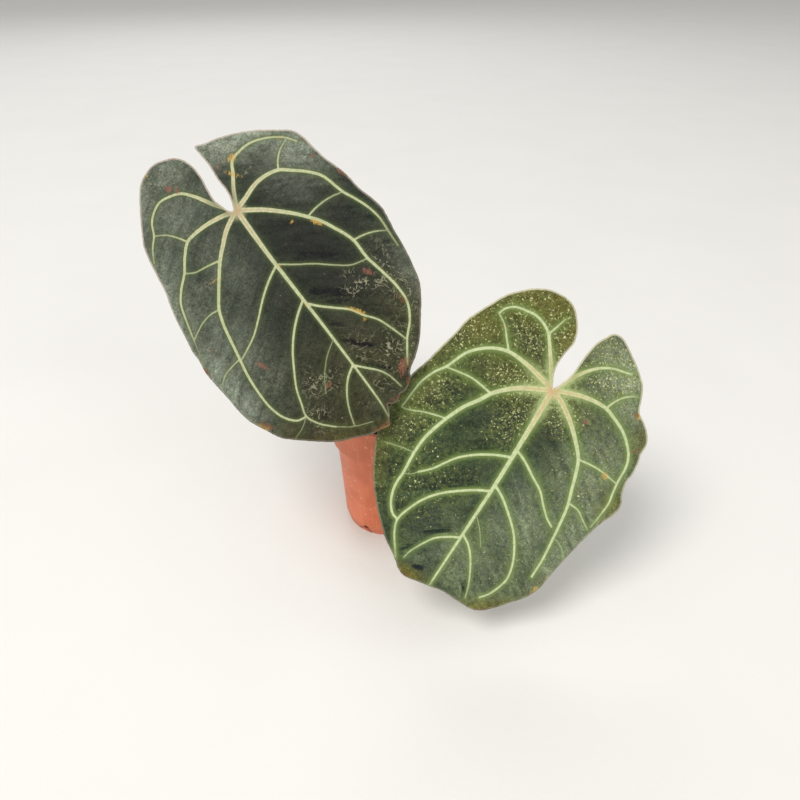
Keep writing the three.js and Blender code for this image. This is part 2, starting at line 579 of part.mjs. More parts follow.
function stalkGeometry(leaf) {
  const foot = leaf.side === 'left' ? -STALK_OFFSET : STALK_OFFSET;
  const face = new THREE.Vector3(...leaf.face);
  const back = BLADE_THICKNESS / 2 + PAD_DEPTH + PAD_FALL + CLEARANCE;
  const end = new THREE.Vector3(...leaf.base).addScaledVector(new THREE.Vector3(...leaf.along), 2);
  end.addScaledVector(face, -back);
  const route = [
    new THREE.Vector3(foot, 0, STALK_FOOT),
    new THREE.Vector3(foot, 0, STALK_FOOT + 12),
    new THREE.Vector3(foot * 1.02, 0, STALK_FOOT + 24),
    ...leaf.stalkRoute.map((point) => new THREE.Vector3(...point)),
    end.clone().addScaledVector(face, -KNEE_LENGTH * 0.6),
    end.clone().addScaledVector(face, -KNEE_LENGTH * 0.15),
    end,
  ];
  const curve = new THREE.CatmullRomCurve3(route, false, 'centripetal');
  const length = curve.getLength();
  const radiusAt = (t) => {
    const base = (STALK_FOOT_RADIUS - STALK_RADIUS) * Math.exp(-(((t * length) / 34) ** 2));
    const swell = THREE.MathUtils.smoothstep(t * length, length - KNEE_LENGTH, length - KNEE_LENGTH / 3);
    return STALK_RADIUS + base + (KNEE_RADIUS - STALK_RADIUS) * swell;
  };
  return tube(curve, STALK_SIDES, Math.round(length / STALK_STEP), radiusAt, (t) => STALK_GROOVE * (1 - t));
}

// Assembly

const anthurium = new THREE.Group();

function addPiece(parent, name, geometry, color, roughness) {
  const material = new THREE.MeshStandardMaterial({ color, roughness, metalness: 0, side: THREE.FrontSide });
  const mesh = new THREE.Mesh(geometry, material);
  mesh.name = name;
  parent.add(mesh);
  return mesh;
}

addPiece(anthurium, 'pot', potGeometry(), '#c3704f', 0.55);
addPiece(anthurium, 'potting_mix', mixGeometry(), '#4a3526', 0.95);
addPiece(anthurium, 'stem', stemGeometry(), '#6f6a3c', 0.75);

const sheaths = new THREE.Group();
for (const [name, turn] of [['sheath_front', -Math.PI / 2], ['sheath_back', Math.PI / 2]]) {
  addPiece(sheaths, name, sheathGeometry(), '#8a6a45', 0.85).rotation.z = turn;
}
anthurium.add(sheaths);

for (const leaf of [LEFT_LEAF, RIGHT_LEAF]) {
  const along = new THREE.Vector3(...leaf.along).normalize();
  const across = new THREE.Vector3(...leaf.face).cross(along).normalize();
  const face = along.clone().cross(across);
  const blade = addPiece(anthurium, `blade_${leaf.side}`, bladeGeometry(leaf), leaf.color, 0.5);
  blade.quaternion.setFromRotationMatrix(new THREE.Matrix4().makeBasis(along, across, face));
  blade.position.set(...leaf.base);
  addPiece(anthurium, `stalk_${leaf.side}`, stalkGeometry(leaf), '#7d8550', 0.6);
}

export default anthurium;
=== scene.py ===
"""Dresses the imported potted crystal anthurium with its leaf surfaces, stalks, stem, pot and bark mix.

Sizes are in millimetres (mm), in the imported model's frame: the origin is the middle of the pot's underside,
+Z is up, -Y faces the viewer and +X is to the viewer's right. Meshes are scaled to metres as they are made.
"""

import functools
import logging
import math
import random
from dataclasses import dataclass
from enum import Enum

import bmesh
import bpy
import numpy as np
from mathutils import Matrix, Vector, noise
from mathutils.geometry import delaunay_2d_cdt


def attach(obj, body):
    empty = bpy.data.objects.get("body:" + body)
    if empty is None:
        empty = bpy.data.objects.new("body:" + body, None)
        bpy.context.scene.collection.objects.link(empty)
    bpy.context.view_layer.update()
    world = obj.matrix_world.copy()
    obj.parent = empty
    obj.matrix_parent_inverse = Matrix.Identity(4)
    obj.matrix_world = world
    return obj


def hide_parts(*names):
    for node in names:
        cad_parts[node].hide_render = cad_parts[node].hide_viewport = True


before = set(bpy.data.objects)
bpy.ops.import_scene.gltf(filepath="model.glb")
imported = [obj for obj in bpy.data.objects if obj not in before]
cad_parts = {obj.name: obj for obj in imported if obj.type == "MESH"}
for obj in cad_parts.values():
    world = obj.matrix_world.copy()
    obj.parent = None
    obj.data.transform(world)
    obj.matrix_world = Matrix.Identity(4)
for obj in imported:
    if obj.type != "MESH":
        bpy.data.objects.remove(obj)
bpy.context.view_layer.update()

logging.basicConfig(level=logging.INFO, format="%(message)s")
log = logging.getLogger("anthurium")

MM = 0.001
TURN = 2 * math.pi
GOLDEN_ANGLE = math.pi * (3 - math.sqrt(5))
ROWS_AT_ONCE = 2_000_000

Colour = tuple[float, float, float, float]
Array = np.ndarray
Socket = bpy.types.NodeSocket
Material = bpy.types.Material
Piece = bpy.types.Object


class Side(Enum):
    """Which side of the stem a leaf grows from."""

    LEFT = "left"
    RIGHT = "right"


class Turn(Enum):
    """Which way a sheath faces round the stem, as the angle of its middle in degrees."""

    FRONT = -90
    BACK = 90


def srgb(red: float, green: float, blue: float) -> Colour:
    """Turns a display colour into a linear one.

    Args:
        red: Red, 0 to 255.
        green: Green, 0 to 255.
        blue: Blue, 0 to 255.

    Returns:
        The linear colour with an alpha of 1.
    """
    channels = [c / 255 for c in (red, green, blue)]
    linear = [c / 12.92 if c <= 0.04045 else ((c + 0.055) / 1.055) ** 2.4 for c in channels]
    return (*linear, 1.0)


def smooth_step(low: float, high: float, value: Array | float) -> Array | float:
    """Eases a value, or each value of an array, from 0 at low to 1 at high."""
    share = np.clip((value - low) / (high - low), 0, 1)
    return share * share * (3 - 2 * share)


def smooth_row(points: list, closed: bool, step: float) -> Array:
    """Draws a centripetal Catmull-Rom curve through given points.

    Args:
        points: The points that the curve passes through, of any dimension.
        closed: Whether the curve runs back to its first point.
        step: Largest distance between the row's points.

    Returns:
        The curve as a dense row of points.
    """
    corners = np.array(points, float)
    count = len(corners)
    row = []
    for i in range(count if closed else count - 1):
        if closed:
            p0, p1, p2, p3 = (corners[(i + k) % count] for k in (-1, 0, 1, 2))
        else:
            p1, p2 = corners[i], corners[i + 1]
            p0 = corners[i - 1] if i > 0 else 2 * p1 - p2
            p3 = corners[i + 2] if i + 2 < count else 2 * p2 - p1
        gaps = [max(math.dist(a, b) ** 0.5, 1e-3) for a, b in ((p0, p1), (p1, p2), (p2, p3))]
        start = (p1 - p0) / gaps[0] - (p2 - p0) / (gaps[0] + gaps[1]) + (p2 - p1) / gaps[1]
        end = (p2 - p1) / gaps[1] - (p3 - p1) / (gaps[1] + gaps[2]) + (p3 - p2) / gaps[2]
        start, end = start * gaps[1], end * gaps[1]
        parts = math.ceil(math.dist(p1, p2) / step)
        for t in np.arange(parts) / parts:
            square = -3 * p1 + 3 * p2 - 2 * start - end
            cube = 2 * p1 - 2 * p2 + start + end
            row.append(p1 + start * t + square * t * t + cube * t**3)
    if not closed:
        row.append(corners[-1])
    return np.array(row)


def lengths_along(row: Array) -> Array:
    """Measures how far along an open row each of its points lies."""
    return np.concatenate([[0], np.cumsum(np.linalg.norm(np.diff(row, axis=0), axis=1))])


def sideways(ahead: Array) -> Array:
    """Unit vectors to the right of flat directions."""
    return np.stack([ahead[:, 1], -ahead[:, 0]], 1) / np.hypot(*ahead.T)[:, None]


def nearest_on_row(row: Array, points: Array, closed: bool) -> tuple[Array, Array]:
    """Finds how far points are from a row, and how far along the row their nearest place is.

    Args:
        row: A row of flat points.
        points: Flat points to measure.
        closed: Whether the row runs back to its first point.

    Returns:
        The distances, and the lengths along the row, in the row's unit.
    """
    starts = row if closed else row[:-1]
    ends = np.roll(row, -1, axis=0) if closed else row[1:]
    spans = ends - starts
    lengths = np.hypot(*spans.T)
    ways = np.concatenate([[0], np.cumsum(lengths)[:-1]])
    distance = np.empty(len(points))
    way = np.empty(len(points))
    block = max(1, ROWS_AT_ONCE // len(starts))
    for first in range(0, len(points), block):
        part = points[first:first + block, None, :] - starts[None]
        share = np.clip((part * spans).sum(-1) / np.maximum(lengths**2, 1e-9), 0, 1)
        off = part - share[..., None] * spans
        square = (off * off).sum(-1)
        pick = square.argmin(1)
        own = np.arange(len(pick))
        distance[first:first + block] = np.sqrt(square[own, pick])
        way[first:first + block] = ways[pick] + share[own, pick] * lengths[pick]
    return distance, way


def is_inside(row: Array, points: Array) -> Array:
    """Tells which flat points lie inside a closed row.

    Args:
        row: The closed row.
        points: Flat points to test.

    Returns:
        One truth value for each point.
    """
    after = np.roll(row, -1, axis=0)
    inside = np.zeros(len(points), bool)
    for (x1, y1), (x2, y2) in zip(row, after):
        if y1 == y2:
            continue
        crosses = (y1 > points[:, 1]) != (y2 > points[:, 1])
        inside ^= crosses & (points[:, 0] < (x2 - x1) * (points[:, 1] - y1) / (y2 - y1) + x1)
    return inside


def ripple(points: Array, size: float, seed: float) -> Array:
    """Smooth repeatable noise at flat or solid points.

    Args:
        points: Points in mm.
        size: Width of a bump in mm.
        seed: Shifts the pattern, so that two surfaces differ.

    Returns:
        One value from about -1 to 1 for each point.
    """
    solid = np.zeros((len(points), 3))
    solid[:, :points.shape[1]] = points / size
    return np.array([noise.noise(Vector(p) + Vector((seed, seed * 0.7, seed * 1.3))) for p in solid])


def make_mesh(name: str, vertices: Array, faces: list, materials: list,
              material_index: Array | None = None) -> Piece:
    """Makes a smooth-shaded object.

    Args:
        name: Name of the piece.
        vertices: Points in mm.
        faces: Corner numbers of each face.
        materials: Materials for the piece's slots.
        material_index: Slot of each face, or None for the first.

    Returns:
        The object, linked into the scene.
    """
    mesh = bpy.data.meshes.new(name)
    mesh.from_pydata((np.asarray(vertices) * MM).tolist(), [], faces)
    for material in materials:
        mesh.materials.append(material)
    mesh.polygons.foreach_set("use_smooth", [True] * len(mesh.polygons))
    if material_index is not None:
        mesh.polygons.foreach_set("material_index", np.asarray(material_index, np.int32))
    mesh.update()
    piece = bpy.data.objects.new(name, mesh)
    bpy.context.scene.collection.objects.link(piece)
    return piece


def add_field(piece: Piece, name: str, values: Array) -> None:
    """Stores a number or a vector on every point of a piece for its material to read.

    Args:
        piece: The piece to store it on.
        name: Name of the attribute.
        values: One number, or one row of three numbers, for each point.
    """
    flat = np.asarray(values, np.float32)
    if flat.ndim == 1:
        piece.data.attributes.new(name, "FLOAT", "POINT").data.foreach_set("value", flat)
    else:
        piece.data.attributes.new(name, "FLOAT_VECTOR", "POINT").data.foreach_set("vector", flat.ravel())


def settle(piece: Piece, slot: str, *nodes: str) -> None:
    """Lets a piece ride on the root body and stand for CAD nodes, whose parts it hides.

    Args:
        piece: The finished piece.
        slot: Material slot of the record; not used.
        nodes: CAD nodes that the piece stands for.
    """
    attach(piece, "root")
    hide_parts(*nodes)
    log.info("%s: %d faces", piece.name, len(piece.data.polygons))


class Surface:
    """A material being made, with short calls for its shader nodes."""

    def __init__(self, name: str, roughness: float, specular: float) -> None:
        """Starts a material with a plain shader.

        Args:
            name: Name of the material.
            roughness: Roughness set on the shader itself.
            specular: Specular level set on the shader itself.
        """
        self.material = bpy.data.materials.new(name)
        self.material.use_nodes = True
        self.tree = self.material.node_tree
        self.shader = self.tree.nodes["Principled BSDF"]
        self.shader.inputs["Roughness"].default_value = roughness
        self.shader.inputs["Specular IOR Level"].default_value = specular

    def feed(self, socket: Socket, value: object) -> None:
        """Links an output to a socket, or sets the socket's own value.

        Args:
            socket: The input to fill.
            value: An output socket, a number, or a tuple.
        """
        if isinstance(value, Socket):
            self.tree.links.new(value, socket)
        else:
            socket.default_value = value

    def add(self, kind: str, sockets: dict, **settings: object) -> bpy.types.Node:
        """Adds a shader node.

        Args:
            kind: Type of the node, without its first part.
            sockets: What goes into the node's inputs, by their name or number.
            settings: The node's own settings.

        Returns:
            The node.
        """
        node = self.tree.nodes.new(f"ShaderNode{kind}")
        for name, value in settings.items():
            setattr(node, name, value)
        for key, value in sockets.items():
            self.feed(node.inputs[key], value)
        return node

    def field(self, name: str) -> Socket:
        """Reads a number stored on the mesh."""
        return self.add("Attribute", {}, attribute_name=name).outputs["Fac"]

    def vector(self, name: str) -> Socket:
        """Reads a vector stored on the mesh."""
        return self.add("Attribute", {}, attribute_name=name).outputs["Vector"]

    def parts(self, vector: Socket) -> list:
        """Splits a vector into its three numbers."""
        return list(self.add("SeparateXYZ", {0: vector}).outputs)

    def place(self) -> Socket:
        """The place on the piece, in mm of the object's own space."""
        return self.scaled(self.add("TexCoord", {}).outputs["Object"], (1 / MM, 1 / MM, 1 / MM))

    def scaled(self, vector: Socket, scale: tuple, turn: float = 0.0) -> Socket:
        """Turns a place about Z and stretches it.

        Args:
            vector: The place.
            scale: Factors along the three axes, applied after the turn.
            turn: Turn about Z in degrees.

        Returns:
            The new place.
        """
        if turn:
            sockets = {"Vector": vector, "Angle": math.radians(turn)}
            vector = self.add("VectorRotate", sockets, rotation_type="Z_AXIS").outputs[0]
        return self.add("VectorMath", {0: vector, 1: scale}, operation="MULTIPLY").outputs[0]

    def noise(self, place: Socket, size: float, detail: float = 2.0, twist: float = 0.0) -> Socket:
        """Cloudy noise from 0 to 1: the clouds' size in mm, finer octaves and twist."""
        sockets = {"Vector": place, "Scale": 1 / size, "Detail": detail, "Distortion": twist}
        return self.add("TexNoise", sockets).outputs["Fac"]

    def cells(self, place: Socket, size: float, edges: bool = False) -> Socket:
        """Distance to the middle, or to the border, of scattered cells.

        Args:
            place: The place in mm.
            size: Width of a cell in mm.
            edges: Whether to measure to the border.

        Returns:
            The distance as a share of a cell.
        """
        feature = "DISTANCE_TO_EDGE" if edges else "F1"
        sockets = {"Vector": place, "Scale": 1 / size}
        return self.add("TexVoronoi", sockets, feature=feature).outputs["Distance"]

    def hairs(self, place: Socket, length: float, turn: float, share: float) -> Socket:
        """Scattered hair lines that run one way.

        Args:
            place: The place in mm.
            length: Length of a line in mm.
            turn: Direction of the lines in degrees.
            share: Share of the cells that hold a line, 0 to 1.

        Returns:
            1 on a line and 0 off it.
        """
        stretched = self.scaled(place, (0.9, 0.72 / length, 1), turn)
        node = self.add("TexVoronoi", {"Vector": stretched, "Scale": 1.0})
        draw = self.parts(node.outputs["Color"])[0]
        chosen = self.step(draw, 1 - share, 1 - share + 0.02)
        return self.times(chosen, self.step(node.outputs["Distance"], 0.3, 0.12))

    def curls(self, place: Socket, size: float, turn: float) -> Socket:
        """Scattered hair lines that curl, drawn along the level lines of soft noise.

        Args:
            place: The place in mm.
            size: Width of the noise's clouds in mm.
            turn: Turn of the pattern in degrees, so that layers differ.

        Returns:
            1 on a line and 0 off it.
        """
        turned = self.scaled(place, (1, 0.7, 1), turn)
        off = self.maths("ABSOLUTE", self.maths("SUBTRACT", self.noise(turned, size, 1, 0.8), 0.5))
        kept = self.step(self.noise(turned, size * 0.6, 1), 0.5, 0.58)
        return self.times(self.step(off, 0.022, 0.006), kept)

    def bent_place(self, place: Socket, size: float, reach: float) -> Socket:
        """Shifts places by soft noise, so that straight patterns on them bend.

        Args:
            place: The place in mm.
            size: Width of a bend in mm.
            reach: Largest shift in mm.

        Returns:
            The shifted place.
        """
        cloud = self.add("TexNoise", {"Vector": place, "Scale": 1 / size})
        sockets = {0: cloud.outputs["Color"], 1: (2 * reach, 2 * reach, 0), 2: place}
        return self.add("VectorMath", sockets, operation="MULTIPLY_ADD").outputs[0]

    def maths(self, operation: str, first: object, second: object = 0.0) -> Socket:
        """Does one sum, such as DIVIDE, on two numbers or outputs."""
        return self.add("Math", {0: first, 1: second}, operation=operation).outputs[0]

    def times(self, first: object, second: object) -> Socket:
        """Multiplies two numbers."""
        return self.maths("MULTIPLY", first, second)

    def plus(self, first: object, second: object) -> Socket:
        """Adds two numbers."""
        return self.maths("ADD", first, second)

    def stack(self, *layers: tuple) -> Socket:
        """Adds up patterns, each given with its share."""
        return functools.reduce(self.plus, [self.times(*layer) for layer in layers])

    def swing(self, pattern: Socket, reach: float) -> Socket:
        """Turns a pattern of 0 to 1 into a shift of half the reach down or up."""
        return self.times(self.maths("SUBTRACT", pattern, 0.5), reach)

    def step(self, value: object, low: float, high: float, bottom: float = 0.0, top: float = 1.0) -> Socket:
        """Eases a value from bottom at low to top at high; high may be below low."""
        sockets = {"Value": value, "From Min": low, "From Max": high, "To Min": bottom, "To Max": top}
        return self.add("MapRange", sockets, interpolation_type="SMOOTHSTEP").outputs["Result"]

    def blend(self, share: object, first: object, second: object) -> Socket:
        """Blends two colours; the share is how much of the second shows."""
        return self.add("Mix", {0: share, 6: first, 7: second}, data_type="RGBA").outputs[2]

    def shade(self, share: object, colour: Socket, factor: float) -> Socket:
        """Brightens or darkens a colour by a factor where the share is 1."""
        return self.blend(share, colour, self.scaled(colour, (factor, factor, factor)))

    def relief(self, height: object, depth: float) -> Socket:
        """Bends the surface by a map of its height; a height of 1 is the depth, in mm."""
        sockets = {"Strength": 1.0, "Distance": depth * MM, "Height": height}
        return self.add("Bump", sockets).outputs["Normal"]

    def finish(self, colour: Socket, roughness: Socket | None, normal: Socket) -> Material:
        """Connects the finished colour, roughness and relief to the shader.

        Args:
            colour: The colour.
            roughness: A roughness map, or None to keep the shader's own value.
            normal: The bent normal.

        Returns:
            The material.
        """
        self.feed(self.shader.inputs["Base Color"], colour)
        if roughness is not None:
            self.feed(self.shader.inputs["Roughness"], roughness)
        self.feed(self.shader.inputs["Normal"], normal)
        return self.material


@dataclass(frozen=True)
class BladeFinish:
    """Colours and patterns of a blade's upper side, with its painted sheen, painted shade and painted
    highlights.
    """

    name: str
    lamina: Colour
    lamina_light: Colour
    # Colour of the painted shade over the broad darker parts of the blade.
    painted_shade: Colour
    # Colour of the painted sheen, where the velvet catches the light.
    painted_sheen: Colour
    olive: Colour
    # Colour of the painted shade in the creases of the folds.
    shaded_fold: Colour
    halo: Colour
    glow: Colour
    vein: Colour
    vein_base: Colour
    vein_core: Colour
    rim: Colour
    mid: Colour
    fleck: Colour
    scratch: Colour = srgb(166, 162, 134)
    brown: Colour = srgb(104, 72, 50)
    red: Colour = srgb(138, 86, 72)
    tan: Colour = srgb(188, 152, 78)
    fleck_size: float = 2.2
    fleck_bare: float = 0.76
    fleck_gain: float = 0.16
    mid_share: float = 0.4
    halo_reach: float = 2.4
    halo_strength: float = 0.6
    glow_reach: float = 7.0
    glow_strength: float = 0.2
    core_reach: float = 46.0
    web: Colour = srgb(146, 150, 112)
    web_reach: float = 16.0
    web_cover: float = 0.78
    core_cover: float = 0.7
    hub_cover: float = 0.65
    mark_covers: tuple = (0.75, 0.62, 0.7)
    roughness: float = 0.54
    specular: float = 0.1
    mottle_size: float = 3.6
    grain_size: float = 1.25
    patch_size: float = 3.1
    net_size: float = 5.2
    relief_depth: float = 0.36

    def material(self) -> Material:
        """Builds the upper side's material.

        Returns:
            The material.
        """
        s = Surface(self.name, self.roughness, self.specular)
        plan = s.vector("plan")
        mottle = s.noise(plan, self.mottle_size, 4, 0.8)
        grain = s.noise(plan, self.grain_size, 3, 0.3)
        patch = s.noise(plan, self.patch_size, 5, 0.9)
        colour = self.lamina_colour(s, plan, mottle, grain)
        colour = self.worn(s, colour, plan, grain, patch)
        colour, vein = self.veined(s, colour, mottle, grain, patch)
        colour = self.marked(s, colour, plan, mottle)
        net = s.cells(s.scaled(s.bent_place(plan, 8, 2), (1, 0.8, 1), 24), self.net_size, edges=True)
        height = s.stack((s.step(net, 0, 0.2), 0.25), (mottle, 1), (grain, 0.5), (vein, 0.8))
        rough = s.step(mottle, 0.2, 0.8, self.roughness - 0.1, self.roughness + 0.14)
        return s.finish(colour, rough, s.relief(height, self.relief_depth))

    def lamina_colour(self, s: Surface, plan: Socket, mottle: Socket, grain: Socket) -> Socket:
        """Colours the blade between its veins, with its painted sheen, painted shade and painted highlights.

        Args:
            s: The material being made.
            plan: The flat place.
            mottle: Coarse noise.
            grain: Fine noise.

        Returns:
            The colour.
        """
        painted_sheen, olive, shaded_fold = s.parts(s.vector("zones"))
        cloud = s.noise(plan, 20, 4, 0.5)
        colour = s.blend(s.step(cloud, 0.36, 0.66), self.lamina, self.lamina_light)
        # Painted shade over the broad darker parts of the blade.
        colour = s.blend(s.field("painted_shade"), colour, self.painted_shade)
        # Painted sheen: pale silvery colour where the velvet catches the light, broken up by the cloud.
        painted_sheen_share = s.times(painted_sheen, s.step(cloud, 0.2, 0.6, 0.7, 1))
        colour = s.blend(painted_sheen_share, colour, self.painted_sheen)
        colour = s.blend(olive, colour, self.olive)
        pleat = s.noise(s.scaled(s.vector("pleat"), (0.18, 1, 1)), 6, 3, 0.5)
        # The pleat rows paint highlight and shade along the pleats; the mottle and grain rows vary the tone.
        for pattern, low, high, factor in (
            (pleat, 0.5, 0.7, 1.28), (pleat, 0.5, 0.3, 0.7), (mottle, 0.46, 0.74, 1.42),
            (mottle, 0.52, 0.28, 0.66), (grain, 0.5, 0.72, 1.5), (grain, 0.5, 0.28, 0.6),
        ):
            colour = s.shade(s.step(pattern, low, high), colour, factor)
        streak = s.noise(s.scaled(s.vector("pleat"), (0.11, 1, 1)), 3.2, 3, 0.3)
        # Painted highlight on the ridges beside the folds.
        crest_highlight = s.times(s.step(streak, 0.42, 0.32), s.step(shaded_fold, 0.05, 0.5))
        colour = s.shade(crest_highlight, colour, 1.5)
        # Painted shade in the folds, broken into streaks.
        streaked_fold_shade = s.step(s.plus(shaded_fold, s.swing(streak, 1.9)), 0.3, 0.9)
        return s.blend(s.times(streaked_fold_shade, s.step(shaded_fold, 0.05, 0.4)), colour, self.shaded_fold)

    def worn(self, s: Surface, colour: Socket, plan: Socket, grain: Socket, patch: Socket) -> Socket:
        """Adds pale flecks and hair-fine scratches.

        Args:
            s: The material being made.
            colour: The colour below.
            plan: The flat place.
            grain: Fine noise.
            patch: Patchy noise.

        Returns:
            The colour with its wear.
        """
        flecks, scratches, _ = s.parts(s.vector("wear"))
        patchy = s.times(s.step(patch, 0.46, 0.6), s.step(flecks, 0, 0.8, 0, self.mid_share))
        colour = s.blend(patchy, colour, self.mid)
        spot = s.plus(s.noise(plan, self.fleck_size, 3, 0.7), s.swing(patch, 0.3))
        clump = s.noise(plan, 9, 2, 0.4)
        level = s.maths("SUBTRACT", self.fleck_bare, s.times(flecks, self.fleck_gain))
        level = s.maths("SUBTRACT", level, s.swing(clump, 0.16))
        fleck = s.step(s.maths("SUBTRACT", spot, level), 0, 0.08)
        fleck = s.times(fleck, s.step(grain, 0.34, 0.62, 0.25, 0.95))
        colour = s.blend(fleck, colour, self.fleck)
        bent = s.bent_place(plan, 14, 3)
        lines = None
        for turn, length, share in ((28, 9, 0.2), (-52, 8, 0.2), (84, 12, 0.2)):
            line = s.hairs(bent, length, turn, share)
            lines = line if lines is None else s.maths("MAXIMUM", lines, line)
        for turn, size in ((15, 8), (70, 6.5), (-40, 7)):
            lines = s.maths("MAXIMUM", lines, s.curls(plan, size, turn))
        wanted = s.step(scratches, 0.04, 0.9, 0, 0.62)
        return s.blend(s.times(lines, wanted), colour, self.scratch)

    def veined(self, s: Surface, colour: Socket, mottle: Socket, grain: Socket,
               patch: Socket) -> tuple[Socket, Socket]:
        """Adds the veins, their bright borders, the pale web round the hub and the pale rim.

        Args:
            s: The material being made.
            colour: The colour below.
            mottle: Coarse noise.
            grain: Fine noise.
            patch: Patchy noise.

        Returns:
            The colour with its veins, and where the veins are.
        """
        edge = s.field("vein")
        way = s.field("way")
        thick = s.parts(s.vector("wear"))[2]
        glow = s.times(s.step(edge, self.glow_reach, 0), s.step(way, 150, 40, 0.15, self.glow_strength))
        colour = s.blend(s.times(glow, s.step(mottle, 0.25, 0.6)), colour, self.glow)
        uneven = s.plus(edge, s.swing(mottle, 1.6))
        halo = s.times(s.step(uneven, self.halo_reach, 0), self.halo_strength)
        colour = s.blend(s.times(halo, s.step(thick, 0.4, 0.8, 0.3, 1)), colour, self.halo)
        near_base = s.step(way, self.core_reach, 10)
        frayed = s.plus(edge, s.swing(patch, 18))
        frayed = s.plus(frayed, s.swing(grain, 6))
        web = s.times(s.step(way, self.web_reach, 3), s.step(frayed, 7, 0))
        colour = s.blend(s.times(web, self.web_cover), colour, self.web)
        ragged = s.plus(edge, s.swing(grain, 0.8))
        ragged = s.maths("SUBTRACT", ragged, s.times(near_base, 0.4))
        vein = s.times(s.step(ragged, 0.34, -0.26), s.step(thick, 0.36, 0.8, 0.4, 1))
        vein = s.times(vein, s.step(s.field("rim"), 0.5, 9, 0.4, 1))
        vein_colour = s.blend(near_base, self.vein, self.vein_base)
        vein_colour = s.shade(s.step(mottle, 0.6, 0.38), vein_colour, 0.84)
        vein_colour = s.shade(s.step(grain, 0.5, 0.34), vein_colour, 0.86)
        middle = s.step(s.maths("DIVIDE", s.field("centre"), thick), 0.44, 0.12)
        core = s.times(s.times(middle, near_base), s.step(thick, 0.75, 1.2))
        vein_colour = s.blend(s.times(core, self.core_cover), vein_colour, self.vein_core)
        colour = s.blend(vein, colour, vein_colour)
        hub = s.step(s.plus(way, s.times(mottle, 8)), 12, 4)
        colour = s.blend(s.times(hub, self.hub_cover), colour, self.vein_core)
        pale_rim = s.times(s.step(s.field("rim"), 1.7, 0.6), s.field("pale_rim"))
        return s.blend(pale_rim, colour, self.rim), vein

    def marked(self, s: Surface, colour: Socket, plan: Socket, mottle: Socket) -> Socket:
        """Adds the brown, reddish and tan marks of old damage.

        Args:
            s: The material being made.
            colour: The colour below.
            plan: The flat place.
            mottle: Coarse noise.

        Returns:
            The colour with its marks.
        """
        string = s.noise(s.scaled(plan, (1, 0.3, 1), -28), 1.1, 3, 0.4)
        frayed = s.plus(s.swing(mottle, 1.1), s.swing(string, 2.2))
        marks = list(zip(s.parts(s.vector("marks")), (self.brown, self.red, self.tan), self.mark_covers))
        for mark, tone, cover in reversed(marks):
            ragged = s.plus(mark, s.times(frayed, s.step(mark, 0.1, 0.6)))
            colour = s.blend(s.times(s.step(ragged, 0.3, 0.95), cover), colour, tone)
        return colour


@dataclass(frozen=True)
class UndersideFinish:
    """Colours of a blade's matt underside."""

    name: str
    lamina: Colour = srgb(112, 128, 84)
    lamina_dark: Colour = srgb(88, 106, 66)
    vein: Colour = srgb(160, 172, 112)
    rim: Colour = srgb(150, 140, 100)

    def material(self) -> Material:
        """Builds the underside's material.

        Returns:
            The material.
        """
        s = Surface(self.name, 0.62, 0.3)
        plan = s.vector("plan")
        mottle = s.noise(plan, 3.2, 3, 0.5)
        grain = s.noise(plan, 0.8, 2)
        colour = s.blend(s.step(s.noise(plan, 30, 3), 0.35, 0.65), self.lamina_dark, self.lamina)
        colour = s.shade(s.step(mottle, 0.4, 0.7), colour, 1.16)
        colour = s.shade(s.step(grain, 0.5, 0.3), colour, 0.88)
        net = s.cells(s.scaled(plan, (1, 0.8, 1), 24), 4.6, edges=True)
        colour = s.blend(s.times(s.step(net, 0.07, 0), 0.45), colour, self.vein)
        vein = s.step(s.field("vein"), 0.9, -0.3)
        colour = s.blend(vein, colour, self.vein)
        colour = s.blend(s.step(s.field("rim"), 1.2, 0.2), colour, self.rim)
        height = s.stack((s.step(net, 0.14, 0), 1), (mottle, 0.6), (grain, 0.3))
        return s.finish(colour, s.step(mottle, 0.2, 0.8, 0.52, 0.72), s.relief(height, 0.3))


@dataclass(frozen=True)
class StalkFinish:
    """Colours of the smooth leaf stalks, from the foot to the swollen joint."""

    name: str = "olive_stalk"
    foot: Colour = srgb(112, 92, 58)
    middle: Colour = srgb(118, 122, 68)
    top: Colour = srgb(140, 150, 84)
    streak: Colour = srgb(84, 84, 48)
    speck: Colour = srgb(170, 170, 120)

    def material(self) -> Material:
        """Builds the stalk's material.

        Returns:
            The material.
        """
        s = Surface(self.name, 0.42, 0.45)
        way = s.field("way")
        around = s.vector("skin")
        colour = s.blend(s.step(way, 0, 0.22), self.foot, self.middle)
        colour = s.blend(s.step(way, 0.7, 1), colour, self.top)
        lines = s.noise(s.scaled(around, (1, 0.06, 1)), 1.3, 3)
        colour = s.blend(s.times(s.step(lines, 0.48, 0.72), 0.55), colour, self.streak)
        cork = s.noise(s.scaled(around, (1, 0.5, 1)), 0.8, 2)
        colour = s.blend(s.times(s.step(cork, 0.64, 0.72), 0.7), colour, self.speck)
        wrinkle = s.noise(s.scaled(around, (0.1, 1, 1)), 0.9, 2)
        knee = s.step(way, 0.9, 0.95)
        height = s.stack((lines, 1), (s.times(wrinkle, knee), 1.4), (cork, 0.4))
        return s.finish(colour, s.step(lines, 0.3, 0.7, 0.36, 0.54), s.relief(height, 0.28))


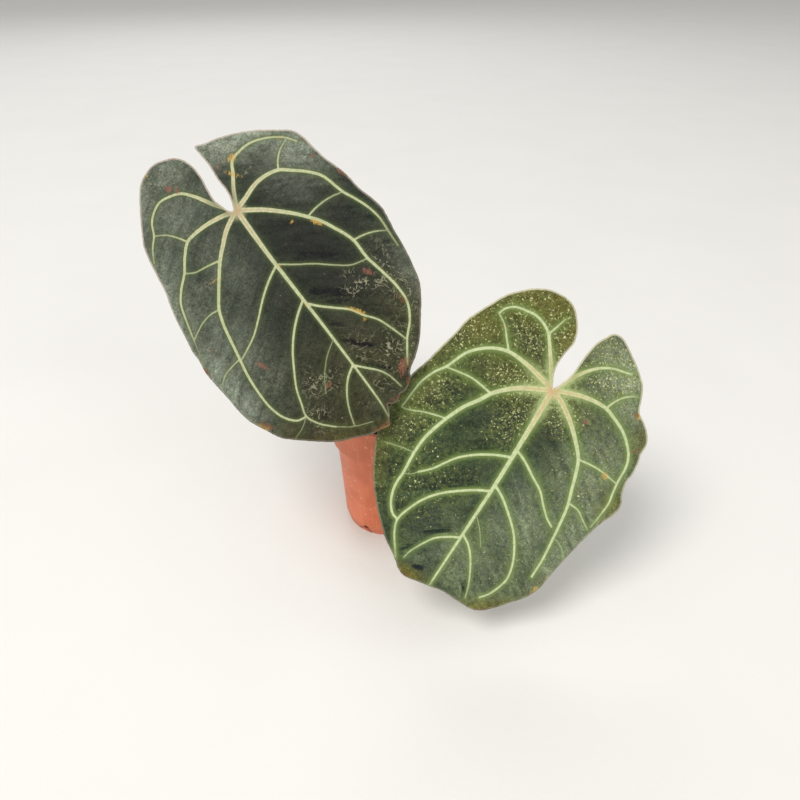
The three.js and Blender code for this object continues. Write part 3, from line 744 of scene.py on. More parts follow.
@dataclass(frozen=True)
class StemFinish:
    """Colours of the short ringed stem and its bud."""

    name: str = "stem_bark"
    bark: Colour = srgb(104, 88, 58)
    ring: Colour = srgb(66, 52, 36)
    bud: Colour = srgb(132, 138, 74)
    bud_tip: Colour = srgb(158, 112, 76)

    def material(self) -> Material:
        """Builds the stem's material.

        Returns:
            The material.
        """
        s = Surface(self.name, 0.66, 0.35)
        place = s.place()
        height_up = s.parts(place)[2]
        flake = s.noise(s.scaled(place, (1, 1, 0.35)), 1.8, 4, 0.6)
        colour = s.blend(s.step(flake, 0.35, 0.65), self.ring, self.bark)
        green = s.step(s.plus(height_up, s.times(flake, 5)), 113, 119)
        colour = s.blend(green, colour, self.bud)
        colour = s.blend(s.step(height_up, 127, 133), colour, self.bud_tip)
        colour = s.shade(s.step(s.noise(place, 0.7, 2), 0.5, 0.75), colour, 1.3)
        return s.finish(colour, s.step(flake, 0.2, 0.8, 0.55, 0.8), s.relief(flake, 0.6))


@dataclass(frozen=True)
class SheathFinish:
    """Colours of the dry fibrous sheaths."""

    name: str = "dry_sheath"
    pale: Colour = srgb(158, 124, 82)
    dark: Colour = srgb(94, 64, 40)
    edge: Colour = srgb(70, 46, 30)

    def material(self) -> Material:
        """Builds the sheath's material.

        Returns:
            The material.
        """
        s = Surface(self.name, 0.74, 0.3)
        skin = s.vector("skin")
        fibre = s.noise(s.scaled(skin, (1, 0.04, 1)), 0.5, 4)
        patch = s.noise(skin, 6, 3, 0.5)
        colour = s.blend(s.step(fibre, 0.36, 0.64), self.dark, self.pale)
        colour = s.shade(s.step(patch, 0.55, 0.7), colour, 0.66)
        colour = s.blend(s.times(s.step(s.field("edge"), 0.8, 0.1), 0.7), colour, self.edge)
        return s.finish(colour, s.step(fibre, 0.2, 0.8, 0.66, 0.86), s.relief(fibre, 0.5))


@dataclass(frozen=True)
class PotFinish:
    """Colours of the satin terracotta-coloured plastic, with dust, specks and scuffs."""

    name: str = "terracotta_plastic"
    body: Colour = srgb(224, 124, 88)
    deep: Colour = srgb(208, 110, 72)
    haze: Colour = srgb(228, 160, 136)
    speck: Colour = srgb(226, 214, 190)
    soil: Colour = srgb(92, 60, 42)

    def material(self) -> Material:
        """Builds the pot's material.

        Returns:
            The material.
        """
        s = Surface(self.name, 0.46, 0.42)
        place = s.place()
        height_up = s.parts(place)[2]
        cloud = s.noise(place, 22, 3, 0.3)
        fine = s.noise(place, 1.6, 3)
        run = s.noise(s.scaled(place, (1, 1, 0.06)), 2.4, 3)
        colour = s.blend(s.step(cloud, 0.35, 0.68), self.deep, self.body)
        colour = s.blend(s.times(s.step(run, 0.5, 0.75), 0.22), colour, self.haze)
        crust = s.times(s.step(height_up, 22, 2), s.step(fine, 0.42, 0.62))
        colour = s.blend(s.times(crust, 0.4), colour, self.haze)
        chip = s.times(s.step(s.cells(place, 5.5), 0.16, 0.08), s.step(cloud, 0.46, 0.56))
        colour = s.blend(s.times(chip, 0.85), colour, self.speck)
        grime = s.times(s.step(height_up, 10, 3), s.step(s.noise(place, 4, 3), 0.5, 0.62))
        colour = s.blend(s.times(grime, 0.6), colour, self.soil)
        scuff = s.noise(s.scaled(place, (0.12, 0.12, 1)), 0.8, 2)
        colour = s.shade(s.step(scuff, 0.64, 0.74), colour, 1.12)
        height = s.stack((fine, 0.5), (scuff, 0.4), (chip, 1))
        rough = s.step(s.stack((run, 0.5), (fine, 0.5)), 0.3, 0.7, 0.36, 0.6)
        return s.finish(colour, rough, s.relief(height, 0.12))


@dataclass(frozen=True)
class SoilFinish:
    """Colours of the fine dark part of the potting mix."""

    name: str = "fine_mix"
    dark: Colour = srgb(44, 31, 24)
    light: Colour = srgb(98, 72, 52)
    crumb: Colour = srgb(150, 122, 92)

    def material(self) -> Material:
        """Builds the fine mix's material.

        Returns:
            The material.
        """
        s = Surface(self.name, 0.9, 0.2)
        place = s.place()
        lump = s.noise(place, 2.2, 4, 0.4)
        grit = s.cells(place, 1.3)
        colour = s.blend(s.step(lump, 0.38, 0.66), self.dark, self.light)
        crumbs = s.times(s.step(grit, 0.22, 0.1), s.step(lump, 0.45, 0.6))
        colour = s.blend(crumbs, colour, self.crumb)
        height = s.stack((lump, 1), (s.step(grit, 0.5, 0.1), 0.5))
        return s.finish(colour, None, s.relief(height, 1.4))


@dataclass(frozen=True)
class BarkFinish:
    """Colours of the bark chips, which differ from chip to chip."""

    name: str = "bark_chip"
    dark: Colour = srgb(66, 42, 28)
    warm: Colour = srgb(134, 90, 58)
    grey: Colour = srgb(124, 108, 92)

    def material(self) -> Material:
        """Builds the bark's material.

        Returns:
            The material.
        """
        s = Surface(self.name, 0.84, 0.25)
        skin = s.vector("skin")
        tone = s.field("tone")
        layer = s.noise(s.scaled(skin, (0.3, 0.3, 1.6)), 1.1, 4, 0.5)
        colour = s.blend(tone, self.dark, self.warm)
        colour = s.blend(s.step(s.noise(skin, 4, 2), 0.5, 0.7), colour, self.grey)
        colour = s.shade(s.step(layer, 0.55, 0.32), colour, 0.55)
        return s.finish(colour, None, s.relief(layer, 0.7))


@dataclass(frozen=True)
class PerliteFinish:
    """Colours of the white perlite grains."""

    name: str = "perlite"
    white: Colour = srgb(226, 222, 210)
    stain: Colour = srgb(170, 150, 124)

    def material(self) -> Material:
        """Builds the perlite's material.

        Returns:
            The material.
        """
        s = Surface(self.name, 0.88, 0.25)
        skin = s.vector("skin")
        pit = s.cells(skin, 0.55)
        colour = s.blend(s.step(s.noise(skin, 1.4, 3), 0.48, 0.68), self.white, self.stain)
        colour = s.shade(s.step(pit, 0.3, 0.1), colour, 0.8)
        return s.finish(colour, None, s.relief(pit, 0.4))


@dataclass(frozen=True)
class FloorFinish:
    """Colours of the plain pale floor."""

    name: str = "pale_floor"
    pale: Colour = srgb(232, 231, 228)
    shade: Colour = srgb(226, 225, 222)

    def material(self) -> Material:
        """Builds the floor's material.

        Returns:
            The material.
        """
        s = Surface(self.name, 0.8, 0.2)
        place = s.place()
        colour = s.blend(s.noise(place, 180, 3), self.pale, self.shade)
        return s.finish(colour, None, s.relief(s.noise(place, 3, 3), 0.1))


@dataclass(frozen=True)
class Vein:
    """One vein: its width where it starts and ends, and the places it passes, [across, along]."""

    start_width: float
    end_width: float
    path: list
    raised: bool = True


@dataclass(frozen=True)
class Spot:
    """A soft-edged oval on a blade: middle, half sizes, strength and turn in degrees."""

    across: float
    along: float
    half_across: float
    half_along: float
    strength: float = 1.0
    turn: float = 0.0

    def cover(self, points: Array) -> Array:
        """How strongly the spot covers flat points.

        Args:
            points: Flat points, [across, along].

        Returns:
            One strength for each point.
        """
        off = points - (self.across, self.along)
        c, s = math.cos(math.radians(self.turn)), math.sin(math.radians(self.turn))
        u = (off[:, 0] * c + off[:, 1] * s) / self.half_across
        v = (off[:, 1] * c - off[:, 0] * s) / self.half_along
        return self.strength * np.exp(-(u * u + v * v) * 0.69)


def spots(*rows: tuple) -> list[Spot]:
    """Makes spots from rows of their numbers: middle, half sizes, strength and turn."""
    return [Spot(*row) for row in rows]


@dataclass(frozen=True)
class Fold:
    """A crease pressed into a blade along a path, [across, along], darkened on the upper side with painted
    shade.
    """

    width: float
    depth: float
    path: list
    strength: float = 1.0

    def cover(self, points: Array) -> Array:
        """How strongly the crease covers flat points, fading at its two ends.

        Args:
            points: Flat points, [across, along].

        Returns:
            One strength for each point.
        """
        row = smooth_row(self.path, False, 2)
        distance, way = nearest_on_row(row, points, False)
        length = np.hypot(*np.diff(row, axis=0).T).sum()
        fade = smooth_step(0, 0.25, way / length) * smooth_step(1, 0.75, way / length)
        return self.strength * fade * np.exp(-((distance / self.width) ** 2))


@dataclass(frozen=True)
class LeafPlan:
    """Everything that sets one leaf apart: where it hangs, its flat drawing, its relief, its marks, and its
    painted sheen and painted shade.
    """

    side: Side
    base: tuple
    along: tuple
    face: tuple
    scale: float
    length: float
    focus: tuple
    arch: float
    cup: float
    wave_height: float
    stalk_route: list
    outline: list
    veins: list[Vein]
    finish: BladeFinish
    slot: str
    pale_rim: float
    # Spots of painted shade, where the blade lies darker.
    painted_shade: list[Spot]
    # Spots of painted sheen, where the velvet catches the light.
    painted_sheen: list[Spot]
    olive: list[Spot]
    # Creases pressed into the blade and darkened with painted shade.
    folds: list[Fold]
    brown: list[Spot]
    red: list[Spot]
    tan: list[Spot]
    flecks: list[Spot]
    scratches: list[Spot]

    def axes(self) -> tuple[Array, Array, Array]:
        """The blade's own directions.

        Returns:
            Unit vectors along the blade, across it and out of its face.
        """
        along = np.array(self.along) / np.linalg.norm(self.along)
        across = np.cross(self.face, along)
        across /= np.linalg.norm(across)
        return along, across, np.cross(along, across)


LEFT_LEAF = LeafPlan(
    side=Side.LEFT,
    base=(-112.5, 0.8, 302.2),
    along=(0.601, -0.517, -0.609),
    face=(-0.138, -0.818, 0.558),
    scale=0.986,
    length=196.6,
    focus=(248, 64, 532),
    arch=8,
    cup=6,
    wave_height=1.9,
    stalk_route=[(-15, 6, 150), (-32, 20, 205), (-64, 28, 257), (-94, 23, 288)],
    outline=[
        (-2.5, -2), (1, -9), (3, -18), (2.8, -30), (4, -44), (3.6, -56), (4, -63), (11, -60), (23, -56),
        (39, -48), (51, -40), (63, -30), (72, -22), (75.5, -14), (77, -4), (79.5, 14), (82, 22), (84.5, 36),
        (86, 50), (88.6, 60), (90, 72), (88.6, 82), (86.6, 92), (85, 106), (82, 120), (78, 134), (72, 144),
        (64, 154), (55, 165), (49, 171), (41, 177), (32, 182.6), (29, 187), (24.5, 190.6), (18.3, 192.7),
        (14.8, 192.3), (11.3, 194.9), (6, 194.6), (3.2, 192.8), (2, 195.4), (-0.5, 199.4), (-3.1, 202.4),
        (-5.4, 206), (-13, 204.4), (-21, 203), (-31, 198), (-45, 191.6), (-57, 182.4),
        (-69, 172), (-79, 162), (-85, 150), (-90.6, 138), (-93, 126), (-94, 112), (-95.4, 100), (-96.4, 86),
        (-95, 74), (-95, 66), (-93.4, 56), (-91, 40), (-88, 26), (-84, 12), (-82, -2), (-80, -14),
        (-77, -26), (-71, -37), (-63, -50), (-56, -60), (-49, -68), (-39, -72.6), (-31, -73.6),
        (-21, -70.4), (-15, -67), (-10, -61), (-7, -52), (-6.6, -40), (-8.4, -28), (-9, -18), (-7, -10),
        (-5, -4.4),
    ],
    veins=[
        Vein(3.5, 1.2, [(0, 0), (-1, 40), (-0.6, 80), (0, 120), (-0.6, 188), (-2, 200)]),
        Vein(2.6, 1.2, [(0, 0), (8, -15), (15, -25), (21, -34), (29, -36), (39, -36), (49, -32.4),
            (59, -26), (65, -20), (70, -12)]),
        Vein(3, 1.2, [(2, -1), (11, -3.4), (23, -7), (33, -7.4), (45, -4), (53, 3), (62, 12), (69, 22),
            (74, 42), (78, 52), (82, 64), (83.8, 76), (83, 88), (82, 102)]),
        Vein(3, 1.4, [(2, 1), (7, 5), (17, 13), (27, 23), (35, 32), (41, 40), (47, 49), (52, 60), (56, 70),
            (58, 78), (58, 94), (60.6, 110), (62.6, 126), (61.6, 140), (55, 152), (45, 162), (33, 178)]),
        Vein(2.6, 1.2, [(-1, -1), (-11, -15), (-20, -31), (-27, -40), (-35, -44), (-45, -46), (-53, -43),
            (-60, -37), (-65, -27.6), (-72, -20), (-78, -10)]),
        Vein(3, 1.2, [(-2, -1), (-13, -4.4), (-25, -6.8), (-37, -7.4), (-46, -6), (-55, 2), (-63, 12),
            (-73, 21), (-80, 30), (-84, 42), (-88.6, 59)]),
        Vein(3, 1.4, [(-3, 0.5), (-16, 7), (-25, 14.4), (-34, 22.4), (-43, 33), (-51, 43), (-58, 53),
            (-62.6, 66), (-65.4, 80), (-68, 94), (-70.6, 108), (-71.8, 126), (-71, 140), (-67, 152),
            (-60, 160), (-52.6, 161.6)]),
        Vein(1.4, 1, [(45, -4), (49, -10), (56, -16), (64, -19)]),
        Vein(1.4, 1, [(41, 40), (49, 38.6), (59, 38.6), (67, 40), (74, 42.4)]),
        Vein(1.4, 1, [(58, 77), (67, 79), (75, 82.4), (83, 88)]),
        Vein(1.4, 1, [(-46, -6), (-50, -13), (-56, -21), (-65, -27.6)]),
        Vein(1.4, 1, [(-34, 22.4), (-45, 19.6), (-56, 17), (-63, 12.4)]),
        Vein(1.2, 1, [(-58, 53), (-65, 51.6), (-75, 53), (-88, 59)]),
        Vein(1.2, 1, [(-68, 94), (-77, 95), (-85, 97), (-91, 101)]),
        Vein(1.2, 1.0, [(0, 54), (11, 63), (23, 72), (35, 83), (45, 91), (57.4, 95)]),
        Vein(1.8, 1.2, [(0, 93), (6, 100), (15, 109), (24, 118), (29, 127), (36, 137), (40, 148),
            (44, 162)]),
        Vein(1.6, 1, [(0, 153), (7, 161), (13, 168), (17, 176), (19.4, 188)]),
        Vein(1.8, 1.2, [(-1, 54), (-13, 60), (-25, 68), (-37, 78), (-49, 87), (-66, 95)]),
        Vein(1.8, 1.2, [(-1, 89), (-9, 94), (-19, 102), (-30, 114), (-38, 126), (-46, 140), (-50, 152),
            (-52.6, 161.6), (-48, 172), (-39, 182)]),
        Vein(1.6, 1, [(-1, 153), (-9, 158), (-17, 167), (-23, 178), (-27, 190)]),
        Vein(0.8, 0.7, [(-1, 128), (-12, 135), (-22, 145), (-30, 157)], False),
        Vein(0.9, 0.7, [(-88.6, 59), (-92, 72), (-95, 85)], False),
        Vein(0.8, 0.7, [(-52.6, 161.6), (-61, 167), (-70, 170)], False),
        Vein(0.8, 0.7, [(-39, 182), (-28, 190), (-14, 196)], False),
    ],
    finish=BladeFinish(
        name="dark_blade",
        lamina=srgb(37, 46, 35),
        lamina_light=srgb(54, 57, 46),
        # Colour of the painted shade.
        painted_shade=srgb(26, 27, 24),
        # Colour of the painted sheen.
        painted_sheen=srgb(130, 138, 122),
        olive=srgb(68, 64, 36),
        # Colour of the painted shade in the folds.
        shaded_fold=srgb(17, 18, 21),
        halo=srgb(80, 92, 50),
        glow=srgb(64, 82, 40),
        vein=srgb(178, 184, 144),
        vein_base=srgb(186, 186, 150),
        vein_core=srgb(176, 146, 114),
        rim=srgb(190, 178, 164),
        mid=srgb(64, 68, 50),
        fleck=srgb(150, 150, 122),
        core_reach=60,
        web_reach=11,
    ),
    slot="blade_dark",
    pale_rim=0.75,
    # Spots of painted shade, mostly right of the midrib.
    painted_shade=spots(
        (0, 95, 56, 90, 0.6), (-50, 175, 44, 26, 0.85), (70, 120, 22, 50, 0.7), (28, 70, 28, 66, 0.95, -8),
        (82, 66, 14, 60, 0.4), (20, 150, 40, 36, 0.5), (-40, 140, 36, 36, 0.3), (-46, 18, 14, 12, 0.35),
        (40, 0, 28, 24, 0.9, 20), (-35, -28, 20, 14, 0.3), (60, 60, 20, 50, 0.6),
    ),
    # Spots of painted sheen along the left margin and on the lobes.
    painted_sheen=spots(
        (-92, 110, 16, 46, 0.8), (-88, 20, 14, 50, 0.7, 6), (-60, -58, 30, 16, 0.6, -30),
        (30, -50, 44, 16, 1.0, 30), (-30, -60, 30, 14, 0.5), (66, -14, 22, 26, 0.75),
        (78, 130, 10, 30, 0.35, 10), (-75, 0, 18, 26, 0.45), (-70, 80, 22, 50, 0.4),
        (-34, 24, 18, 34, 0.25), (-44, -30, 30, 24, 0.45),
    ),
    olive=spots(
        (-40, 192, 36, 12, 0.9, 28), (-70, 165, 14, 12, 0.6, 40), (-8, 203, 16, 5, 1.0),
        (40, 170, 24, 9, 0.4, -38), (0, 165, 60, 40, 0.4), (60, 150, 20, 30, 0.4),
    ),
    # Creases with painted shade, mostly on the right half beside the side veins.
    folds=[
        Fold(3.4, 0.5, [(14, 38), (20, 45), (28, 58)], 0.6),
        Fold(4, 0.6, [(10, 54), (22, 63), (34, 73), (44, 84)], 0.9),
        Fold(4, 0.6, [(4, 84), (14, 92), (24, 101), (34, 108)], 0.95),
        Fold(2.6, 0.5, [(10, 98), (20, 106), (32, 113)], 0.8),
        Fold(2, 0.9, [(2, 116), (8, 120), (15, 127)], 0.8),
        Fold(2.2, 1.1, [(2, 131), (10, 139), (19, 149), (26, 154)], 1.1),
        Fold(3, 0.9, [(3, 156), (10, 162), (18, 170), (24, 177)], 1.0),
        Fold(5, 0.3, [(8, 14), (22, 28), (34, 44)], 0.4),
    ],
    brown=spots(
        (84, 31, 2.6, 6, 1, -20), (-96, 86, 2.4, 5), (-82, 148, 2.6, 6, 1, -35), (-9, 204.5, 9, 2.4, 1, 8),
        (14, 193, 12, 1.4, 1, 5), (26, 188, 5, 2, 1, -40), (34, 178, 5, 3, 0.8, -45), (60, 136, 3, 6, 0.7),
        (73, 4.5, 2.1, 2.4), (15, 46, 1.2, 1, 0.8), (74, -10, 1.2, 2),
    ),
    red=spots(
        (-33, -50, 3.2, 3.4), (-28, -44, 1.6, 3.6, 1, 20), (10, -38, 8, 5, 0.5), (52, 103, 2, 5, 1, -30),
        (-57, 109, 2.2, 6, 0.9, -30), (-24, 153, 3, 2.6, 0.8), (29, 177, 3, 7, 1, 48),
        (-82, 74, 3, 1.2, 0.8, 25), (-96, 84, 2, 2), (-16, -67, 4, 1.4, 0.8, 40), (82, 27, 2, 3),
        (-53, 176, 3, 3, 0.55),
    ),
    tan=spots(
        (22, -36, 4, 3), (15, -25, 2, 8, 0.8, -34), (44, 48, 1.8, 6, 1, -32), (27, 121, 1.7, 7, 1.1, -32),
        (29, 35, 2, 1.4), (-84, 148, 2, 5, 1, -30), (0, 57, 1.6, 4, 0.6), (-1, 92, 2, 4, 0.6),
        (-42, -70, 3, 2, 0.7), (60, -24, 2, 1.4, 0.7, 30), (-10, 205.4, 8, 1.2, 1, 8), (28, 131, 2, 2, 0.8),
        (-46, 33, 7, 1.4, 0.6, 10),
    ),
    flecks=spots(
        (-30, -60, 26, 12, 0.9), (20, -48, 26, 14, 0.9, 20), (36, -18, 24, 10, 0.5), (64, 120, 20, 50, 0.5),
        (-10, 80, 80, 70, 0.35), (0, 160, 80, 40, 0.4), (-90, 80, 12, 80, 0.5),
    ),
    scratches=spots(
        (42, 109, 16, 7, 0.9, 22), (64, 122, 12, 30, 0.8), (36, 162, 20, 14, 0.9, -30),
        (14, 146, 12, 14, 0.6, 10), (-26, 150, 16, 9, 0.8, 10), (-33, 140, 7, 10, 0.7),
        (-46, 168, 9, 12, 0.8), (10, 178, 16, 12, 0.5), (40, 96, 8, 6, 0.6), (60, 96, 8, 14, 0.5),
        (26, -20, 6, 3, 0.7), (-50, 32, 9, 3, 0.7, 10), (-38, -66, 12, 5, 0.5), (22, -48, 9, 6, 0.7),
        (72, 106, 10, 26, 0.45), (-12, 30, 5, 16, 0.3, 30), (25, 20, 10, 14, 0.3),
    ),
)

RIGHT_LEAF = LeafPlan(
    side=Side.RIGHT,
    base=(130.4, -73, 184.9),
    along=(-0.528, -0.434, -0.73),
    face=(0.077, -0.88, 0.468),
    scale=1,
    length=179.4,
    focus=(49, -158, 548),
    arch=7,
    cup=6,
    wave_height=2.2,
    stalk_route=[(20, -1, 143), (48, -10, 170), (86, -30, 183), (116, -52, 184)],
    outline=[
        (0, -2), (3, -8), (6, -16), (7, -26), (7.6, -38), (10, -50), (14, -58), (17.4, -62.6), (24, -64),
        (33, -60), (43, -54), (53, -47), (61, -39), (65, -30), (69, -22), (77, -17), (84, -11),
        (87.6, -4), (88, 4), (90, 12), (91, 20), (90.2, 30), (92.6, 39), (96, 45), (97, 50), (95, 58),
        (91, 66), (88, 76), (85, 88), (82.6, 100), (80, 114), (78, 126), (76.6, 136), (73, 145), (68, 152),
        (61, 160), (53, 169), (46, 175), (39, 178), (25, 178), (11, 177.4), (0, 179.4), (-11, 181),
        (-21, 182.4), (-28, 180), (-33, 176), (-41, 170), (-49, 165), (-59, 156), (-69, 146),
        (-79, 134), (-87, 122), (-92, 112), (-96, 104), (-100, 90), (-101, 75), (-100.5, 60), (-99.4, 46),
        (-95, 32), (-92, 18), (-88, 2), (-86, -10), (-82, -20), (-77, -30), (-70, -43), (-64, -50),
        (-55, -58), (-44, -64), (-35, -65.6), (-29, -66), (-21, -63.6), (-14, -57.6), (-8, -49),
        (-5.4, -40), (-6.6, -32), (-7.4, -24), (-7, -16), (-4, -8),
    ],
    veins=[
        Vein(4.4, 1.4, [(0, 0), (1, 45), (1.4, 86), (0.6, 130), (-0.4, 178)]),
        Vein(2.8, 1.4, [(0, -1), (5, -10), (9, -18), (15, -27), (23, -35), (32, -40), (41, -42.4),
            (47, -44)]),
        Vein(3.2, 1.2, [(1, -1), (9, -4.4), (19, -8), (31, -10.6), (44, -11), (55, -7.4), (65, -3), (74, 4),
            (80, 11), (83, 19), (84, 33), (85.4, 42), (87, 50), (86.6, 60), (85, 74)]),
        Vein(3.5, 1.6, [(2, 0.5), (8, 2), (17, 7), (27, 14), (37, 23), (47, 34), (52, 46), (56, 58),
            (60, 70), (62.6, 86), (64.6, 102), (66, 116), (66, 132)]),
        Vein(2.8, 1.4, [(-1, -1), (-10, -14), (-22, -30), (-27, -36), (-34, -40), (-42, -42), (-51, -41),
            (-59, -39), (-65, -34), (-67.4, -28.4)]),
        Vein(1.6, 1, [(-26, -35.6), (-23.4, -44), (-21, -52)]),
        Vein(3.2, 1.2, [(-2, -1), (-11, -3.4), (-23, -6), (-35, -7.6), (-45, -7.6), (-55, -4.6), (-65, 2),
            (-73, 11), (-80, 27), (-86, 36), (-90.6, 48), (-92, 60), (-93, 71)]),
        Vein(3.5, 1.6, [(-2, 0.5), (-9, 4), (-19, 9), (-29, 16), (-39, 26), (-45, 36), (-52, 46), (-58, 59),
            (-62.6, 72), (-65.4, 84), (-66, 98), (-65, 112), (-65, 126), (-61, 138), (-55, 145),
            (-49.4, 147)]),
        Vein(1.6, 1, [(44, -11), (46, -17), (51, -25), (57, -30), (62, -32)]),
        Vein(1.6, 1.2, [(47, 34), (59, 32.4), (69, 32.4), (78, 33.6), (83.4, 34.4)]),
        Vein(1.4, 1, [(60, 67), (69, 68), (77, 73), (84, 77)]),
        Vein(1.6, 1, [(-45, -7.6), (-51, -14), (-59, -23), (-67.4, -28.4)]),
        Vein(1.6, 1.2, [(-39, 27), (-47, 25.6), (-59, 24.4), (-71, 26), (-80, 27.6)]),
        Vein(1.4, 1, [(-58, 61), (-67, 63), (-77, 66), (-86, 70), (-93, 71.6)]),
        Vein(2, 1.4, [(1.2, 53), (11, 57), (23, 64), (35, 71), (43, 79), (51, 86), (58, 90)]),
        Vein(2, 1.4, [(1, 85), (11, 90), (23, 99), (34, 109), (42, 120), (47, 130), (50, 143), (48, 152),
            (44, 161), (39, 167)]),
        Vein(1.8, 1, [(1, 131), (9, 136), (16, 144), (22, 154), (26.6, 164), (29.4, 173)]),
        Vein(2, 1.4, [(1, 60), (-11, 65), (-23, 72), (-35, 82), (-41, 90), (-47, 99), (-55, 107)]),
        Vein(2, 1.4, [(1, 91), (-9, 96), (-21, 104), (-31, 112), (-39, 121), (-45, 132), (-49.4, 147),
            (-46, 157), (-40, 166), (-35, 173)]),
        Vein(1.8, 1, [(0.6, 134), (-9, 139), (-17, 145), (-23, 154), (-28, 164), (-29.4, 170)]),
        Vein(0.9, 0.7, [(-66, 96), (-78, 98), (-90, 101)], False),
        Vein(0.9, 0.7, [(1, 112), (10, 121), (18, 132)], False),
        Vein(0.9, 0.7, [(62.6, 96), (72, 99), (80, 106)], False),
        Vein(0.9, 0.7, [(-55, 107), (-60, 112), (-65, 114)], False),
    ],
    finish=BladeFinish(
        name="light_blade",
        lamina=srgb(42, 54, 38),
        lamina_light=srgb(68, 80, 48),
        # Colour of the painted shade.
        painted_shade=srgb(33, 43, 36),
        # Colour of the painted sheen.
        painted_sheen=srgb(128, 138, 114),
        olive=srgb(100, 94, 40),
        # Colour of the painted shade in the folds.
        shaded_fold=srgb(24, 32, 34),
        halo=srgb(116, 136, 76),
        glow=srgb(90, 116, 48),
        vein=srgb(188, 200, 154),
        vein_base=srgb(192, 194, 144),
        vein_core=srgb(196, 158, 122),
        rim=srgb(196, 192, 164),
        mid=srgb(100, 108, 58),
        fleck=srgb(200, 202, 150),
        fleck_size=1.7,
        fleck_bare=0.72,
        fleck_gain=0.18,
        mid_share=0.7,
        web=srgb(172, 184, 128),
        halo_reach=3.4,
        halo_strength=0.62,
        glow_reach=9.0,
        glow_strength=0.4,
        core_reach=56,
        web_reach=40,
        roughness=0.5,
    ),
    slot="blade_light",
    pale_rim=0.85,
    # Spots of painted shade, mostly on the left half and low down.
    painted_shade=spots(
        (-40, 40, 34, 34, 0.45), (-40, 128, 30, 34, 0.65), (-88, 80, 16, 50, 0.45), (-20, 75, 34, 22, 0.55),
        (18, 50, 16, 36, 0.5), (-20, 172, 20, 10, 0.5), (-40, -30, 34, 20, 0.3), (22, 100, 16, 30, 0.4),
    ),
    # Spots of painted sheen on the right lobe and the right margin.
    painted_sheen=spots(
        (44, -40, 36, 22, 1.0, 36), (80, 100, 18, 70, 0.7), (64, 40, 26, 50, 0.6), (24, 150, 40, 26, 0.45),
        (40, 100, 30, 40, 0.5),
    ),
    olive=spots(
        (-40, -52, 40, 22, 0.7, -10), (-10, -46, 10, 22, 0.75, 10), (-74, -16, 22, 22, 0.6),
        (-30, 2, 40, 22, 0.35), (-88, 40, 12, 50, 0.35), (90, 50, 8, 12, 0.6), (-20, 180, 14, 6, 0.8),
        (46, 172, 26, 6, 0.7, -34), (82, -4, 8, 14, 0.4, -20), (-90, 110, 8, 40, 0.35, -18),
        (78, 138, 6, 14, 0.5, 10),
    ),
    # Creases with painted shade, mostly on the left half beside the side veins.
    folds=[
        Fold(4, 0.5, [(-10, 61), (-20, 65), (-30, 71), (-38, 79)], 0.8),
        Fold(4.4, 0.6, [(-8, 91), (-20, 97), (-32, 107), (-44, 119)], 1.0),
        Fold(4, 0.6, [(-3, 130), (-12, 135), (-22, 142), (-29, 151)], 0.95),
        Fold(4, 0.4, [(-28, 155), (-33, 164), (-34, 172)], 0.6),
        Fold(4, 0.6, [(20, 158), (24, 166), (26, 173)], 0.8),
        Fold(4, 0.5, [(-22, 168), (-16, 171), (-8, 172)], 0.7),
        Fold(6, 0.3, [(6, 76), (20, 84), (34, 92)], 0.35),
        Fold(6, 0.2, [(10, 30), (24, 34), (38, 44)], 0.35),
    ],
    brown=spots(
        (-69, 60, 1.6, 1.6), (67, -19, 2.8, 2.2), (83, 5, 2.2, 1.6), (84, 3, 1.2, 5, 0.6),
        (46, 175, 10, 1.6, 0.9, -34), (-22, 181, 8, 1.4, 0.8), (90, 66, 1.2, 6, 0.7, 14),
    ),
    red=spots(
        (36, 6.5, 2.6, 2.4, 0.9), (82, 6, 3, 2.6, 0.7), (-6, 20, 3, 2, 0.5), (-60, -22, 7, 5, 0.42),
    ),
    tan=spots(
        (72, 34, 3, 3), (69, -19, 4, 2.4, 0.8), (74, 140, 3, 6, 0.6, 14), (-35, -63, 5, 2, 0.6),
        (0, -2, 5, 5, 0.5),
    ),
    flecks=spots(
        (-36, -36, 46, 32, 0.95), (-24, 10, 34, 20, 1.0), (34, -36, 34, 26, 1.0), (-14, 34, 18, 26, 0.9),
        (20, 14, 24, 16, 0.9), (-80, 50, 24, 70, 0.75), (-50, 110, 44, 40, 0.5), (60, 40, 34, 70, 0.5),
        (30, 130, 40, 40, 0.4), (-76, 0, 20, 30, 0.85), (0, 0, 14, 14, 1.0),
    ),
    scratches=spots(
        (80, 120, 12, 40, 0.3), (-40, 40, 20, 14, 0.25), (40, 100, 20, 20, 0.25),
    ),
)


